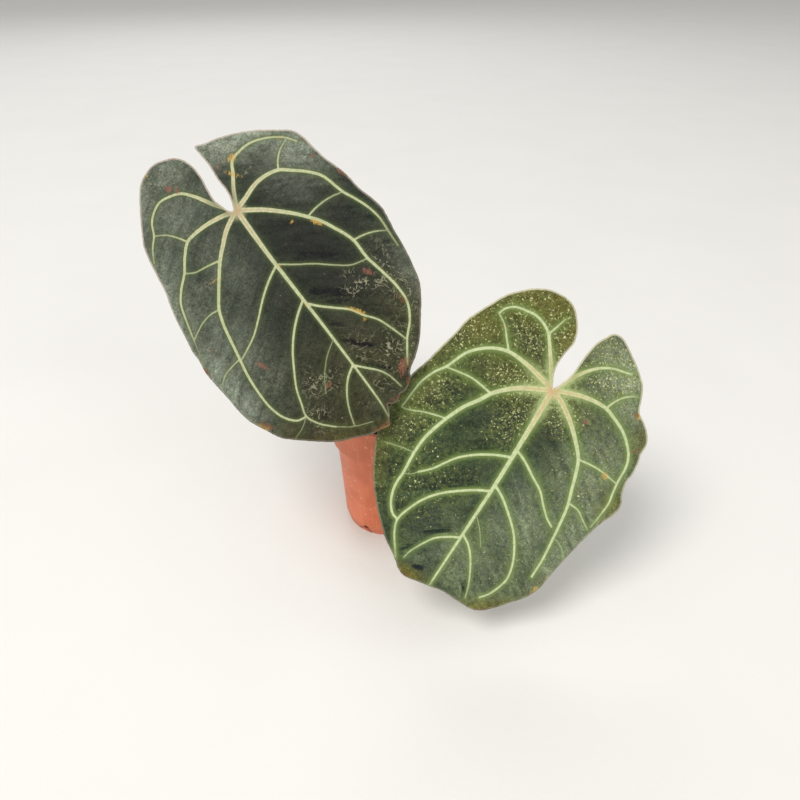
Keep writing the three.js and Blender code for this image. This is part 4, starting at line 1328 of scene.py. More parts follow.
@dataclass
class LeafBlade:
    """One blade: a thin quilted sheet with raised veins, a waved margin and a ribbed underside."""

    plan: LeafPlan
    half_thickness: float = 0.4
    rim_half_thickness: float = 0.18
    outline_step: float = 1.3
    vein_step: float = 1.5
    fill_step: float = 1.75
    quilt_height: float = 2.0
    quilt_reach: float = 9.0
    wave_reach: float = 15.0
    long_wave: float = 58.0
    short_wave: float = 36.0
    calm_radius: float = 30.0
    pad_depth: float = 2.0
    pad_radius: float = 4.0
    ridge_height: float = 0.5
    rib_depth: float = 0.42
    crinkle: float = 0.22
    pleat_height: float = 0.45
    pleat_slant: float = 34.0
    nick: float = 0.25
    rim_ease: float = 2.5
    ridge_fade: float = 60.0
    rib_spread: float = 1.5
    rib_ease: float = 3.0
    vein_border: float = 0.9
    vein_clear: float = 1.5
    rim_clear: float = 0.6
    jitter: float = 0.2
    vein_far: float = 40.0
    vein_search: float = 26.0
    jitter_seed: int = 31

    def __post_init__(self) -> None:
        """Draws the outline and the veins as dense rows."""
        self.outline = smooth_row(self.plan.outline, True, self.outline_step)
        nicks = ripple(self.outline, 3.1, 5.0)[:, None] * self.nick
        ahead = np.roll(self.outline, -1, axis=0) - np.roll(self.outline, 1, axis=0)
        self.outline = self.outline + sideways(ahead) * nicks
        self.rows = [smooth_row(vein.path, False, self.vein_step) for vein in self.plan.veins]

    def build(self) -> Piece:
        """Makes the blade and dresses it.

        Returns:
            The piece.
        """
        flat, triangles = self.triangles(self.points())
        fields = self.fields(flat)
        relief = self.relief(flat, fields)
        upper = self.placed(flat, relief, relief + self.upper_offset(fields))
        lower = self.placed(flat, relief, relief - self.lower_offset(fields))
        count = len(flat)
        borders = self.borders(triangles)
        faces = [tuple(t) for t in triangles]
        faces += [(a + count, c + count, b + count) for a, b, c in triangles]
        faces += [(b, a, a + count, b + count) for a, b in borders]
        index = [0] * len(triangles) + [1] * len(triangles) + [0] * len(borders)
        side = self.plan.side.value
        under = UndersideFinish(f"{side}_blade_underside")
        materials = [self.plan.finish.material(), under.material()]
        piece = make_mesh(f"{side}_blade_surface", np.vstack([upper, lower]), faces, materials, index)
        for name, values in fields.items():
            add_field(piece, name, np.concatenate([values, values]))
        settle(piece, self.plan.slot, f"blade_{side}")
        return piece

    def points(self) -> Array:
        """Scatters the blade's flat points: outline first, then the veins' edges and the lamina between.

        Returns:
            Flat points, [across, along].
        """
        rows = []
        border = (0, self.vein_border)
        for vein, row in zip(self.plan.veins, self.rows):
            normal = sideways(np.gradient(row, axis=0))
            half = np.linspace(vein.start_width, vein.end_width, len(row))[:, None] / 2
            rows += [row] + [row + normal * hand * (half + out) for hand in (-1, 1) for out in border]
        veins = np.vstack(rows)
        low, high = self.outline.min(0), self.outline.max(0)
        rise = self.fill_step * math.sin(math.pi / 3)
        grid = []
        for j, along in enumerate(np.arange(low[1], high[1], rise)):
            across = np.arange(low[0] + (j % 2) * self.fill_step / 2, high[0], self.fill_step)
            grid.append(np.stack([across, np.full(len(across), along)], 1))
        grid = np.vstack(grid)
        shift = np.random.default_rng(self.jitter_seed).uniform(-self.jitter, self.jitter, grid.shape)
        grid += shift * self.fill_step
        grid = grid[is_inside(self.outline, grid)]
        grid = grid[self.vein_distance(grid)[0] > self.vein_clear]
        inner = np.vstack([veins, grid])
        inner = inner[is_inside(self.outline, inner)]
        inner = inner[nearest_on_row(self.outline, inner, True)[0] > self.rim_clear]
        return np.vstack([self.outline, inner])

    def triangles(self, points: Array) -> tuple[Array, Array]:
        """Splits the flat points into triangles within the outline.

        Args:
            points: Flat points, with the outline first.

        Returns:
            The points and the triangles' corner numbers.
        """
        rim = len(self.outline)
        edges = [(i, (i + 1) % rim) for i in range(rim)]
        flat, _, faces, *_ = delaunay_2d_cdt([Vector(p) for p in points], edges, [], 1, 1e-4)
        flat = np.array([tuple(p) for p in flat])
        faces = np.array([f for f in faces if len(f) == 3])
        a, b, c = (flat[faces[:, k]] for k in range(3))
        turn = (b[:, 0] - a[:, 0]) * (c[:, 1] - a[:, 1]) - (b[:, 1] - a[:, 1]) * (c[:, 0] - a[:, 0])
        faces[turn > 0] = faces[turn > 0][:, ::-1]
        return flat, faces

    def borders(self, triangles: Array) -> list:
        """Finds the edges that only one triangle has, in that triangle's direction."""
        edges = {(int(t[i]), int(t[(i + 1) % 3])) for t in triangles for i in range(3)}
        return [(a, b) for a, b in edges if (b, a) not in edges]

    def vein_distance(self, flat: Array) -> tuple[Array, Array, Array, Array]:
        """Measures how points lie to the nearest vein.

        Args:
            flat: Flat points.

        Returns:
            Distance to the nearest vein's edge, negative within it; distance to its centre line; its half
            width; and distance to the nearest centre line of a vein that bends the blade.
        """
        edge, centre, raised = (np.full(len(flat), self.vein_far) for _ in range(3))
        half_width = np.full(len(flat), 0.4)
        for vein, row in zip(self.plan.veins, self.rows):
            low, high = row.min(0) - self.vein_search, row.max(0) + self.vein_search
            own = np.flatnonzero(((flat > low) & (flat < high)).all(1))
            distance, way = nearest_on_row(row, flat[own], False)
            length = np.hypot(*np.diff(row, axis=0).T).sum()
            half = np.interp(way / length, [0, 1], [vein.start_width / 2, vein.end_width / 2])
            nearer = distance - half < edge[own]
            picked = own[nearer]
            edge[picked] = (distance - half)[nearer]
            centre[picked] = distance[nearer]
            half_width[picked] = half[nearer]
            if vein.raised:
                raised[own] = np.minimum(raised[own], distance)
        return edge, centre, half_width, raised

    def covered(self, spots: list, flat: Array) -> Array:
        """Covers flat points with a list of spots or folds, where the strongest counts.

        Args:
            spots: The spots or folds.
            flat: Flat points.

        Returns:
            One strength for each point.
        """
        cover = np.zeros(len(flat))
        for spot in spots:
            cover = np.maximum(cover, spot.cover(flat))
        return cover

    def pleat(self, flat: Array) -> Array:
        """Places on the slanting pleats that run out from the midrib with the side veins.

        Args:
            flat: Flat points.

        Returns:
            The place along a pleat and across the pleats, in mm.
        """
        slant = math.radians(self.pleat_slant)
        out, along = np.abs(flat[:, 0]), flat[:, 1]
        side = np.where(flat[:, 0] > 0, 300.0, 0.0)
        return np.column_stack([out * math.cos(slant) + along * math.sin(slant) + side,
                                along * math.cos(slant) - out * math.sin(slant)])

    def fields(self, flat: Array) -> dict:
        """Measures everything that the shape and the finish read at flat points.

        Args:
            flat: Flat points.

        Returns:
            Named numbers and vectors, one for each point.
        """
        plan = self.plan
        edge, centre, half_width, raised = self.vein_distance(flat)
        rim, _ = nearest_on_row(self.outline, flat, True)
        # The zones are the painted sheen, the olive tone and the painted shade of the folds.
        zones = [self.covered(spots, flat) for spots in (plan.painted_sheen, plan.olive, plan.folds)]
        marks = [self.covered(spots, flat) for spots in (plan.brown, plan.red, plan.tan)]
        wear = [self.covered(spots, flat) for spots in (plan.flecks, plan.scratches)]
        return {
            "plan": np.column_stack([flat, np.zeros(len(flat))]),
            "vein": edge,
            "centre": centre,
            "raised": raised,
            "rim": rim,
            "way": np.hypot(*flat.T),
            # Painted shade over the broad darker parts of the blade.
            "painted_shade": self.covered(plan.painted_shade, flat),
            "pleat": np.column_stack([self.pleat(flat), np.zeros(len(flat))]),
            "pale_rim": plan.pale_rim * (0.25 + 0.75 * smooth_step(110, -10, flat[:, 1])),
            "zones": np.column_stack(zones),
            "marks": np.column_stack(marks),
            "wear": np.column_stack([*wear, half_width]),
        }

    def relief(self, flat: Array, fields: dict) -> Array:
        """Shapes the blade's middle: arch, waves, quilting, crinkles, pleats and folds.

        Args:
            flat: Flat points.
            fields: What fields gave for them.

        Returns:
            Height out of the flat drawing for each point, in mm.
        """
        plan = self.plan
        b, a = flat.T
        t = a / plan.length
        fade = 1 - np.exp(-((fields["way"] / self.calm_radius) ** 2))
        rim, rim_way = nearest_on_row(self.outline, flat, True)
        turn = TURN * rim_way
        swing = np.sin(turn / self.long_wave) + 0.6 * np.sin(turn / self.short_wave + 1)
        height = 4 * plan.arch * t * (1 - t) - plan.cup * (b / 100) ** 2
        height += plan.wave_height * fade * np.exp(-rim / self.wave_reach) * swing
        height += self.quilt_height * fade * (1 - np.exp(-((fields["raised"] / self.quilt_reach) ** 2)))
        height += self.crinkle * fade * (ripple(flat, 7, 1.0) + 0.5 * ripple(flat, 3.4, 2.0))
        height += self.pleat_height * fade * ripple(self.pleat(flat) * (0.24, 1), 6.5, 4.0)
        for shaded_fold in plan.folds:
            height -= shaded_fold.depth * shaded_fold.cover(flat)
        return height

    def shell(self, fields: dict) -> Array:
        """Half the sheet's thickness at each point, which eases to a thin rim."""
        thinning = self.half_thickness - self.rim_half_thickness
        return self.rim_half_thickness + thinning * smooth_step(0, self.rim_ease, fields["rim"])

    def upper_offset(self, fields: dict) -> Array:
        """Measures how far the upper side stands over the blade's middle, with its vein ridges.

        Args:
            fields: What fields gave for the points.

        Returns:
            One distance for each point.
        """
        half_width = fields["wear"][:, 2]
        ridge = np.clip(1 - (fields["centre"] / half_width) ** 2, 0, 1)
        fade = np.exp(-fields["way"] / self.ridge_fade)
        return self.shell(fields) + self.ridge_height * half_width / 2 * fade * ridge

    def lower_offset(self, fields: dict) -> Array:
        """Measures how far the underside hangs below the blade's middle, with its ribs and pad.

        Args:
            fields: What fields gave for the points.

        Returns:
            One distance for each point.
        """
        half_width = fields["wear"][:, 2]
        wide = np.clip(1 - (fields["centre"] / (half_width * self.rib_spread)) ** 2, 0, 1)
        rib = 2 * half_width * self.rib_depth * wide * smooth_step(0, self.rib_ease, fields["rim"])
        pad = self.pad_depth * np.clip((self.pad_radius + 2 - fields["way"]) / 2, 0, 1)
        return self.shell(fields) + np.maximum(rib, pad)

    def placed(self, flat: Array, relief: Array, height: Array) -> Array:
        """Hangs one side of the blade on its stalk.

        Args:
            flat: Flat points.
            relief: Height of the blade's middle at them, which draws them in towards the focus.
            height: Height of the side itself.

        Returns:
            Points in the model's frame, in mm.
        """
        plan = self.plan
        b, a = flat.T
        along, across, face = plan.axes()
        rise = relief / plan.focus[2]
        ahead = plan.scale * a * (1 - rise) + plan.focus[0] * rise
        aside = plan.scale * b * (1 - rise) + plan.focus[1] * rise
        return (np.array(plan.base) + ahead[:, None] * along + aside[:, None] * across
                + height[:, None] * face)


def swept_tube(row: Array, radii: Array, sides: int,
               groove: Array | None = None) -> tuple[Array, list, Array]:
    """Sweeps a round section along a row of points.

    Args:
        row: The middle line, in mm.
        radii: Radius at each point of the row.
        sides: Number of sides of the section.
        groove: Depth of a groove towards the first side, as a share of the radius.

    Returns:
        The points, the faces, and each point's place on the skin, in mm.
    """
    ahead = np.gradient(row, axis=0)
    ahead /= np.linalg.norm(ahead, axis=1)[:, None]
    normal = np.array([1.0, 0, 0]) - ahead[0] * ahead[0][0]
    ways = lengths_along(row)
    vertices, skin = [], []
    for i, point in enumerate(row):
        normal = normal - ahead[i] * (normal @ ahead[i])
        normal /= np.linalg.norm(normal)
        side = np.cross(ahead[i], normal)
        for k in range(sides):
            angle = TURN * k / sides
            dip = 0 if groove is None else groove[i] * max(0.0, math.cos(angle)) ** 6
            radius = radii[i] * (1 - dip)
            vertices.append(point + radius * (math.cos(angle) * normal + math.sin(angle) * side))
            skin.append((radii[i] * math.sin(angle) * 1.6, ways[i], radii[i] * math.cos(angle) * 1.6))
    faces = []
    for i in range(len(row) - 1):
        for k in range(sides):
            a, b = i * sides + k, i * sides + (k + 1) % sides
            faces.append((a, b, b + sides, a + sides))
    last = (len(row) - 1) * sides
    faces.append(tuple(range(sides - 1, -1, -1)))
    faces.append(tuple(range(last, last + sides)))
    return np.array(vertices), faces, np.array(skin)


@dataclass
class LeafStalk:
    """A slender leaf stalk with a thick foot, a groove and a swollen joint below the blade."""

    plan: LeafPlan
    finish: Material
    foot_height: float = 96
    foot_radius: float = 3.7
    radius: float = 2.2
    knee_radius: float = 3.1
    knee_length: float = 16
    offset: float = 10.1
    pad_gap: float = 3.05
    foot_rise: float = 12
    foot_fade: float = 34
    groove: float = 0.16
    wrinkle: float = 0.07
    bump: float = 0.05
    sides: int = 28
    step: float = 1.6

    def build(self) -> Piece:
        """Makes the stalk and dresses it.

        Returns:
            The piece.
        """
        plan = self.plan
        foot = -self.offset if plan.side is Side.LEFT else self.offset
        face = np.array(plan.face)
        end = np.array(plan.base) + 2 * np.array(plan.along) - face * self.pad_gap
        low, rise = self.foot_height, self.foot_rise
        route = [(foot, 0, low), (foot, 0, low + rise), (foot * 1.02, 0, low + 2 * rise), *plan.stalk_route]
        route += [end - face * self.knee_length * 0.6, end - face * self.knee_length * 0.15, end]
        row = smooth_row(route, False, self.step)
        ways = lengths_along(row)
        length = ways[-1]
        radii = self.radius + (self.foot_radius - self.radius) * np.exp(-((ways / self.foot_fade) ** 2))
        knee = smooth_step(length - self.knee_length, length - self.knee_length / 3, ways)
        radii += (self.knee_radius - self.radius) * knee
        radii += self.wrinkle * np.sin(ways * 2.4) * knee + self.bump * ripple(row, 9, 3.0)
        groove = self.groove * (1 - ways / length)
        vertices, faces, skin = swept_tube(row, radii, self.sides, groove)
        piece = make_mesh(f"{plan.side.value}_leaf_stalk", vertices, faces, [self.finish])
        add_field(piece, "way", np.repeat(ways / length, self.sides))
        add_field(piece, "skin", skin)
        settle(piece, "stalk_green", f"stalk_{plan.side.value}")
        return piece


def lathe(profile: list, segments: int) -> tuple[Array, list]:
    """Turns a profile about Z; points on the axis become one point.

    Args:
        profile: Points of radius and height, in order round the outside.
        segments: Number of segments round the axis.

    Returns:
        The points and the faces.
    """
    vertices, rings, faces = [], [], []
    for radius, z in profile:
        if radius < 1e-6:
            rings.append([len(vertices)])
            vertices.append((0, 0, z))
        else:
            rings.append(list(range(len(vertices), len(vertices) + segments)))
            angles = TURN * np.arange(segments) / segments
            vertices += [(radius * math.cos(a), radius * math.sin(a), z) for a in angles]
    for lower, upper in zip(rings, rings[1:]):
        for k in range(segments):
            way = ((lower, k), (lower, k + 1), (upper, k + 1), (upper, k))
            corners = dict.fromkeys(ring[place % len(ring)] for ring, place in way)
            if len(corners) > 2:
                faces.append(tuple(corners))
    return np.array(vertices, float), faces


def eased(profile: list, reach: float, parts: int = 4) -> list:
    """Rounds the corners of a profile.

    Args:
        profile: Points of radius and height.
        reach: Distance from a corner at which its rounding starts.
        parts: Number of steps in each rounding.

    Returns:
        The rounded profile.
    """
    points = [np.array(p, float) for p in profile]
    out = [tuple(points[0])]
    for before, corner, after in zip(points, points[1:], points[2:]):
        one, two = before - corner, after - corner
        cut = [min(reach, np.linalg.norm(v) * 0.45) for v in (one, two)]
        start = corner + one / np.linalg.norm(one) * cut[0]
        end = corner + two / np.linalg.norm(two) * cut[1]
        for t in np.linspace(0, 1, parts):
            out.append(tuple((1 - t) ** 2 * start + 2 * t * (1 - t) * corner + t * t * end))
    out.append(tuple(points[-1]))
    return out


@dataclass
class Stem:
    """The short ringed stem, ending in a pointed bud wrapped in a scale."""

    radius: float = 6.5
    foot: float = 82
    shoulder: float = 114
    bud_top: float = 134
    bud_tip_radius: float = 0.2
    scar_spacing: float = 5.5
    scar_depth: float = 0.6
    segments: int = 56
    step: float = 0.7

    def build(self) -> Piece:
        """Makes the stem and dresses it.

        Returns:
            The piece.
        """
        heights = np.arange(self.foot, self.bud_top, self.step)
        profile = [(0, self.foot)]
        profile += [(self.radius_at(z), z) for z in heights] + [(0, self.bud_top)]
        vertices, faces = lathe(profile, self.segments)
        way = np.arctan2(vertices[:, 1], vertices[:, 0])
        round_about = np.column_stack([np.cos(way) * 3, np.sin(way) * 3, vertices[:, 2] / 2.2])
        bump = 1 + 0.05 * ripple(round_about, 1.0, 8.0) * (vertices[:, 2] < self.shoulder)
        seam = 0.05 * np.exp(-((np.mod(way - vertices[:, 2] * 0.05, TURN) - 2.2) ** 2) / 0.02)
        bump += seam * (vertices[:, 2] > self.shoulder + 2)
        vertices[:, :2] *= bump[:, None]
        piece = make_mesh("ringed_stem", vertices, faces, [StemFinish().material()])
        settle(piece, "stem_bark", "stem")
        return piece

    def radius_at(self, z: float) -> float:
        """Draws the stem's outline: rings below the shoulder and a pointed bud above it.

        Args:
            z: Height in mm.

        Returns:
            The radius there.
        """
        if z < self.shoulder:
            way = ((z - self.foot) % self.scar_spacing) / self.scar_spacing
            return self.radius - self.scar_depth * math.exp(-((way / 0.12) ** 2)) - 0.25 * way
        low, top = self.shoulder, self.bud_top
        knots = [low, low + 3, low + 8, top - 6, top - 1.5, top]
        radii = [self.radius - inset for inset in (0.3, 1.9, 2.6, 4, 5.6)]
        return float(np.interp(z, knots, [*radii, self.bud_tip_radius]))


@dataclass
class DrySheath:
    """A thin, pointed, fibrous sheath that clasps the stem."""

    turn: Turn
    finish: Material
    foot: float = 107.4
    height: float = 44
    thickness: float = 0.9
    half_angle: float = 0.62
    taper: float = 0.93
    inner_radius: float = 7.1
    flare: float = 5
    curl: float = 0.6
    fibre_height: float = 0.12
    fray_depth: float = 0.8
    fray_seed: int = 97
    across: int = 44
    up: int = 70

    def build(self) -> Piece:
        """Makes the sheath and dresses it.

        Returns:
            The piece.
        """
        name = self.turn.name.lower()
        vertices, skin, edge = self.points()
        piece = make_mesh(f"{name}_dry_sheath", vertices, self.faces(), [self.finish])
        add_field(piece, "skin", skin)
        add_field(piece, "edge", edge)
        settle(piece, "dry_sheath", f"sheath_{name}")
        return piece

    def points(self) -> tuple[Array, Array, Array]:
        """Places both sides' points, in rows from the foot to the frayed tip.

        Returns:
            The points, their places on the skin and their distances from the margin, in mm.
        """
        rng = random.Random(self.fray_seed + self.turn.value)
        frays = [rng.uniform(0, 1) for _ in range(self.across + 1)]
        vertices, skin, edge = [], [], []
        middle = math.radians(self.turn.value)
        for layer in (0, 1):
            for j in range(self.up + 1):
                v = j / self.up
                waver = 1 + 0.035 * math.sin(v * 37 + self.turn.value)
                half = self.half_angle * (1 - self.taper * v**1.7) * waver
                for i in range(self.across + 1):
                    u = 2 * i / self.across - 1
                    fibre = self.fibre_height * math.sin(i * 2.1 + v * 3) * (1 - abs(u))
                    thick = self.thickness * (0.35 + 0.65 * (1 - v)) * (1 - 0.6 * abs(u) ** 4)
                    radius = self.inner_radius + self.flare * v * v + self.curl * v * math.cos(u * 5)
                    radius += (thick if layer else 0) + fibre
                    fray = self.fray_depth * frays[i] * v**6
                    z = self.foot + self.height * v * (1 - 0.05 * u * u) - fray
                    angle = middle + half * u
                    vertices.append((radius * math.cos(angle), radius * math.sin(angle), z))
                    skin.append((u * half * radius, z, layer))
                    edge.append(min((1 - abs(u)) * half * radius, (1 - v) * self.height))
        return np.array(vertices), np.array(skin), np.array(edge)

    def faces(self) -> list:
        """Joins the points into two sides and a rim.

        Returns:
            The corner numbers of each face.
        """
        row = self.across + 1
        layer = row * (self.up + 1)
        faces = []
        for j in range(self.up):
            for i in range(self.across):
                a = j * row + i
                faces.append((a, a + row, a + row + 1, a + 1))
                faces.append((a + layer, a + 1 + layer, a + row + 1 + layer, a + row + layer))
        rim = list(range(self.across))
        rim += [j * row + self.across for j in range(self.up)]
        rim += [self.up * row + i for i in range(self.across, 0, -1)]
        rim += [j * row for j in range(self.up, 0, -1)]
        return faces + [(a, b, b + layer, a + layer) for a, b in zip(rim, rim[1:] + rim[:1])]


@dataclass
class Pot:
    """The round plastic pot: a tapered wall, a tall collar, a chamfered foot and drain holes."""

    height: float = 126
    collar_height: float = 33
    collar_top_radius: float = 50.5
    collar_foot_radius: float = 49.4
    collar_step: float = 4.2
    wall_foot_radius: float = 39.6
    chamfer_height: float = 9.5
    foot_radius: float = 36.8
    foot_width: float = 6.5
    boss_radius: float = 8
    recess: float = 1.2
    wall: float = 1.5
    drain_count: int = 8
    drain_radius: float = 3
    drain_level: float = 6.2
    corner_reach: float = 0.55
    sharp_angle: float = 38
    segments: int = 160

    def inner_radius(self, z: float) -> float:
        """Draws the pot's inside.

        Args:
            z: Height in mm.

        Returns:
            The inside radius there.
        """
        collar = self.height - self.collar_height
        knots = [2.7, self.chamfer_height + 0.5, collar, collar + self.wall + 1, self.height]
        radii = [self.foot_radius, self.wall_foot_radius, self.collar_foot_radius - self.collar_step,
                 self.collar_foot_radius, self.collar_top_radius]
        return float(np.interp(z, knots, radii)) - self.wall

    def build(self) -> Piece:
        """Makes the pot and dresses it.

        Returns:
            The piece.
        """
        vertices, faces = lathe(self.profile(), self.segments)
        piece = make_mesh("round_pot", vertices, faces, [PotFinish().material()])
        self.drill(piece)
        settle(piece, "pot_plastic", "pot")
        return piece

    def profile(self) -> list:
        """Draws half of the pot's section: out and up the outside, and down the inside.

        Returns:
            Points of radius and height.
        """
        collar = self.height - self.collar_height
        top = self.collar_top_radius
        foot = self.foot_radius - self.foot_width
        outside = [
            (0, 0), (self.boss_radius, 0), (self.boss_radius + 0.8, self.recess),
            (foot - 0.8, self.recess), (foot, 0), (self.foot_radius, 0),
            (self.wall_foot_radius, self.chamfer_height),
            (self.collar_foot_radius - self.collar_step, collar), (self.collar_foot_radius, collar),
            (top - 0.4, self.height - 3), (top + 0.2, self.height - 2.4), (top + 0.2, self.height - 0.5),
            (top - 0.4, self.height),
        ]
        floor = self.recess + self.wall
        heights = [self.height, collar + self.wall + 1, collar, self.chamfer_height + 0.5, floor]
        inside = [(self.inner_radius(z), z) for z in heights]
        return eased([*outside, *inside, (0, floor)], self.corner_reach)

    def drill(self, piece: Piece) -> None:
        """Cuts the drain holes and keeps the pot's true edges sharp.

        Args:
            piece: The pot before its holes.
        """
        vertices, faces = [], []
        for number in range(self.drain_count):
            body, body_faces = self.drain_cutter(number)
            faces += [tuple(k + len(vertices) for k in f) for f in body_faces]
            vertices += body.tolist()
        cutter = make_mesh("drain_cutter", np.array(vertices), faces, [])
        modifier = piece.modifiers.new("drain", "BOOLEAN")
        modifier.operation = "DIFFERENCE"
        modifier.solver = "EXACT"
        modifier.object = cutter
        bpy.context.view_layer.update()
        graph = bpy.context.evaluated_depsgraph_get()
        cut = bpy.data.meshes.new_from_object(piece.evaluated_get(graph))
        piece.modifiers.clear()
        piece.data = cut
        cut.polygons.foreach_set("use_smooth", [True] * len(cut.polygons))
        cut.set_sharp_from_angle(angle=math.radians(self.sharp_angle))
        bpy.data.objects.remove(cutter)

    def drain_cutter(self, number: int) -> tuple[Array, list]:
        """The body cut away for one drain hole.

        Args:
            number: Which of the holes, counted round the pot.

        Returns:
            The points and the faces.
        """
        angle = TURN * (number + 0.35) / self.drain_count
        out = np.array([math.cos(angle), math.sin(angle), 0])
        reaches = np.linspace(-3, 3, 4) + self.foot_radius + 1.6
        row = np.array([out * reach + (0, 0, self.drain_level) for reach in reaches])
        vertices, faces, _ = swept_tube(row, np.full(4, self.drain_radius), 24)
        return vertices, faces


@dataclass(frozen=True)
class LumpKind:
    """One kind of angular lump: how many, how large at least and how much more, and how high they lie."""

    name: str
    count: int
    seed: int
    least: tuple
    spread: tuple
    corners: int
    lift: float


@dataclass
class PottingMix:
    """Fine mix with a rough crown, and bark chips, perlite grains and fibres lying on it."""

    pot: Pot
    level: float = 104
    crown: float = 2.5
    gap: float = 0.55
    bark: LumpKind = LumpKind("bark_chips", 150, 4217, (5, 3.5, 2.4), (5, 3.5, 2), 16, 0.18)
    perlite: LumpKind = LumpKind("perlite_grains", 80, 88, (1.6, 1.4, 1.3), (2, 1.8, 1.6), 18, 0.3)
    edge_break: float = 0.07
    fibres: int = 34
    fibre_seed: int = 19
    stem_clear: float = 9.5
    stalk_offset: float = 10.1
    stalk_clear: float = 7.5
    middle_clear: float = 13
    mouth_height: float = 110

    def build(self) -> list:
        """Makes the mix and what lies on it, and dresses them.

        Returns:
            The pieces.
        """
        pieces = [self.fine_mix(), self.lumps(self.bark, BarkFinish().material()),
                  self.lumps(self.perlite, PerliteFinish().material()), self.loose_fibres()]
        for piece in pieces:
            settle(piece, "bark_mix", "potting_mix")
        return pieces

    def top(self, x: float, y: float) -> float:
        """Draws the uneven top of the fine mix.

        Args:
            x: Place to the right, in mm.
            y: Place to the back, in mm.

        Returns:
            The height there.
        """
        radius = math.hypot(x, y)
        crown = self.crown * (1 - (radius / self.pot.collar_foot_radius) ** 2)
        swell = 0.9 * math.sin(x * 0.31 + 1) * math.cos(y * 0.27) + 0.5 * math.sin((x + y) * 0.55)
        return self.level + crown + swell + 0.5 * noise.noise(Vector((x * 0.4, y * 0.4, 3)))

    def fine_mix(self) -> Piece:
        """Makes the body of fine mix that fills the pot.

        Returns:
            The piece.
        """
        floor = self.pot.recess + self.pot.wall
        heights = [floor + 0.3, self.pot.chamfer_height + 0.5, 40, 70, 93, 95.5, 100]
        side = [(self.pot.inner_radius(z) - self.gap, z) for z in heights]
        rings = np.linspace(side[-1][0], 0, 40)
        vertices, faces = lathe([(0, floor + 0.3), *side, *[(r, self.level) for r in rings]], 120)
        for vertex in vertices:
            if vertex[2] > self.level - 1:
                vertex[2] = self.top(vertex[0], vertex[1])
        return make_mesh("fine_mix", vertices, faces, [SoilFinish().material()])

    def places(self, count: int, rng: random.Random, reach: float) -> list:
        """Draws places on the mix, clear of the stem and the stalks.

        Args:
            count: Number of places.
            rng: The source of random numbers.
            reach: Largest distance from the middle.

        Returns:
            Places as x and y.
        """
        places = []
        step = 0
        while len(places) < count:
            radius = reach * math.sqrt((step % count + rng.random()) / count)
            angle = step * GOLDEN_ANGLE + rng.uniform(-0.3, 0.3)
            x, y = radius * math.cos(angle), radius * math.sin(angle)
            step += 1
            stalk = min(math.hypot(x - foot, y) for foot in (-self.stalk_offset, self.stalk_offset))
            beside = stalk > self.stalk_clear and abs(y) + abs(x) > self.middle_clear
            if radius > self.stem_clear and beside:
                places.append((x, y))
        return places

    def lumps(self, kind: LumpKind, material: Material) -> Piece:
        """Makes all the lumps of one kind as one piece.

        Args:
            kind: The kind of lump.
            material: The lumps' material.

        Returns:
            The piece.
        """
        rng = random.Random(kind.seed)
        vertices, faces, skin, tone = [], [], [], []
        reach = self.pot.inner_radius(self.mouth_height) - self.gap - (kind.least[0] + kind.spread[0]) * 0.5
        for x, y in self.places(kind.count, rng, reach):
            size = [low + more * rng.random() for low, more in zip(kind.least, kind.spread)]
            body = self.lump(rng, size, kind.corners)
            turn = Matrix.Identity(3)
            for axis, low, high in (("Z", 0, TURN), ("X", -0.5, 0.5), ("Y", -0.45, 0.45)):
                turn = turn @ Matrix.Rotation(rng.uniform(low, high), 3, axis)
            shade = rng.random()
            place = Vector((x, y, self.top(x, y) + size[2] * kind.lift))
            faces += [tuple(len(vertices) + v.index for v in f.verts) for f in body.faces]
            for vertex in body.verts:
                vertices.append(tuple(turn @ vertex.co + place))
                skin.append(tuple(vertex.co + Vector((x * 7, y * 5, 0))))
                tone.append(shade)
            body.free()
        piece = make_mesh(kind.name, np.array(vertices), faces, [material])
        piece.data.set_sharp_from_angle(angle=math.radians(32))
        add_field(piece, "skin", np.array(skin))
        add_field(piece, "tone", np.array(tone))
        return piece

    def lump(self, rng: random.Random, size: list, corners: int) -> bmesh.types.BMesh:
        """Makes one angular lump with broken edges round the origin.

        Args:
            rng: The source of random numbers.
            size: Length, width and height.
            corners: Number of points that its hull is drawn round.

        Returns:
            The lump as a mesh, with its points numbered.
        """
        body = bmesh.new()
        for _ in range(corners):
            way = Vector([rng.gauss(0, 1) for _ in range(3)]).normalized()
            body.verts.new([way[k] * size[k] * 0.5 * rng.uniform(0.85, 1.0) for k in range(3)])
        hull = bmesh.ops.convex_hull(body, input=body.verts)
        loose = list(set(hull["geom_interior"] + hull["geom_unused"]))
        bmesh.ops.delete(body, geom=loose, context="VERTS")
        edge_width = min(size) * self.edge_break
        bmesh.ops.bevel(body, geom=body.edges[:], offset=edge_width, segments=1, affect="EDGES")
        body.verts.ensure_lookup_table()
        return body

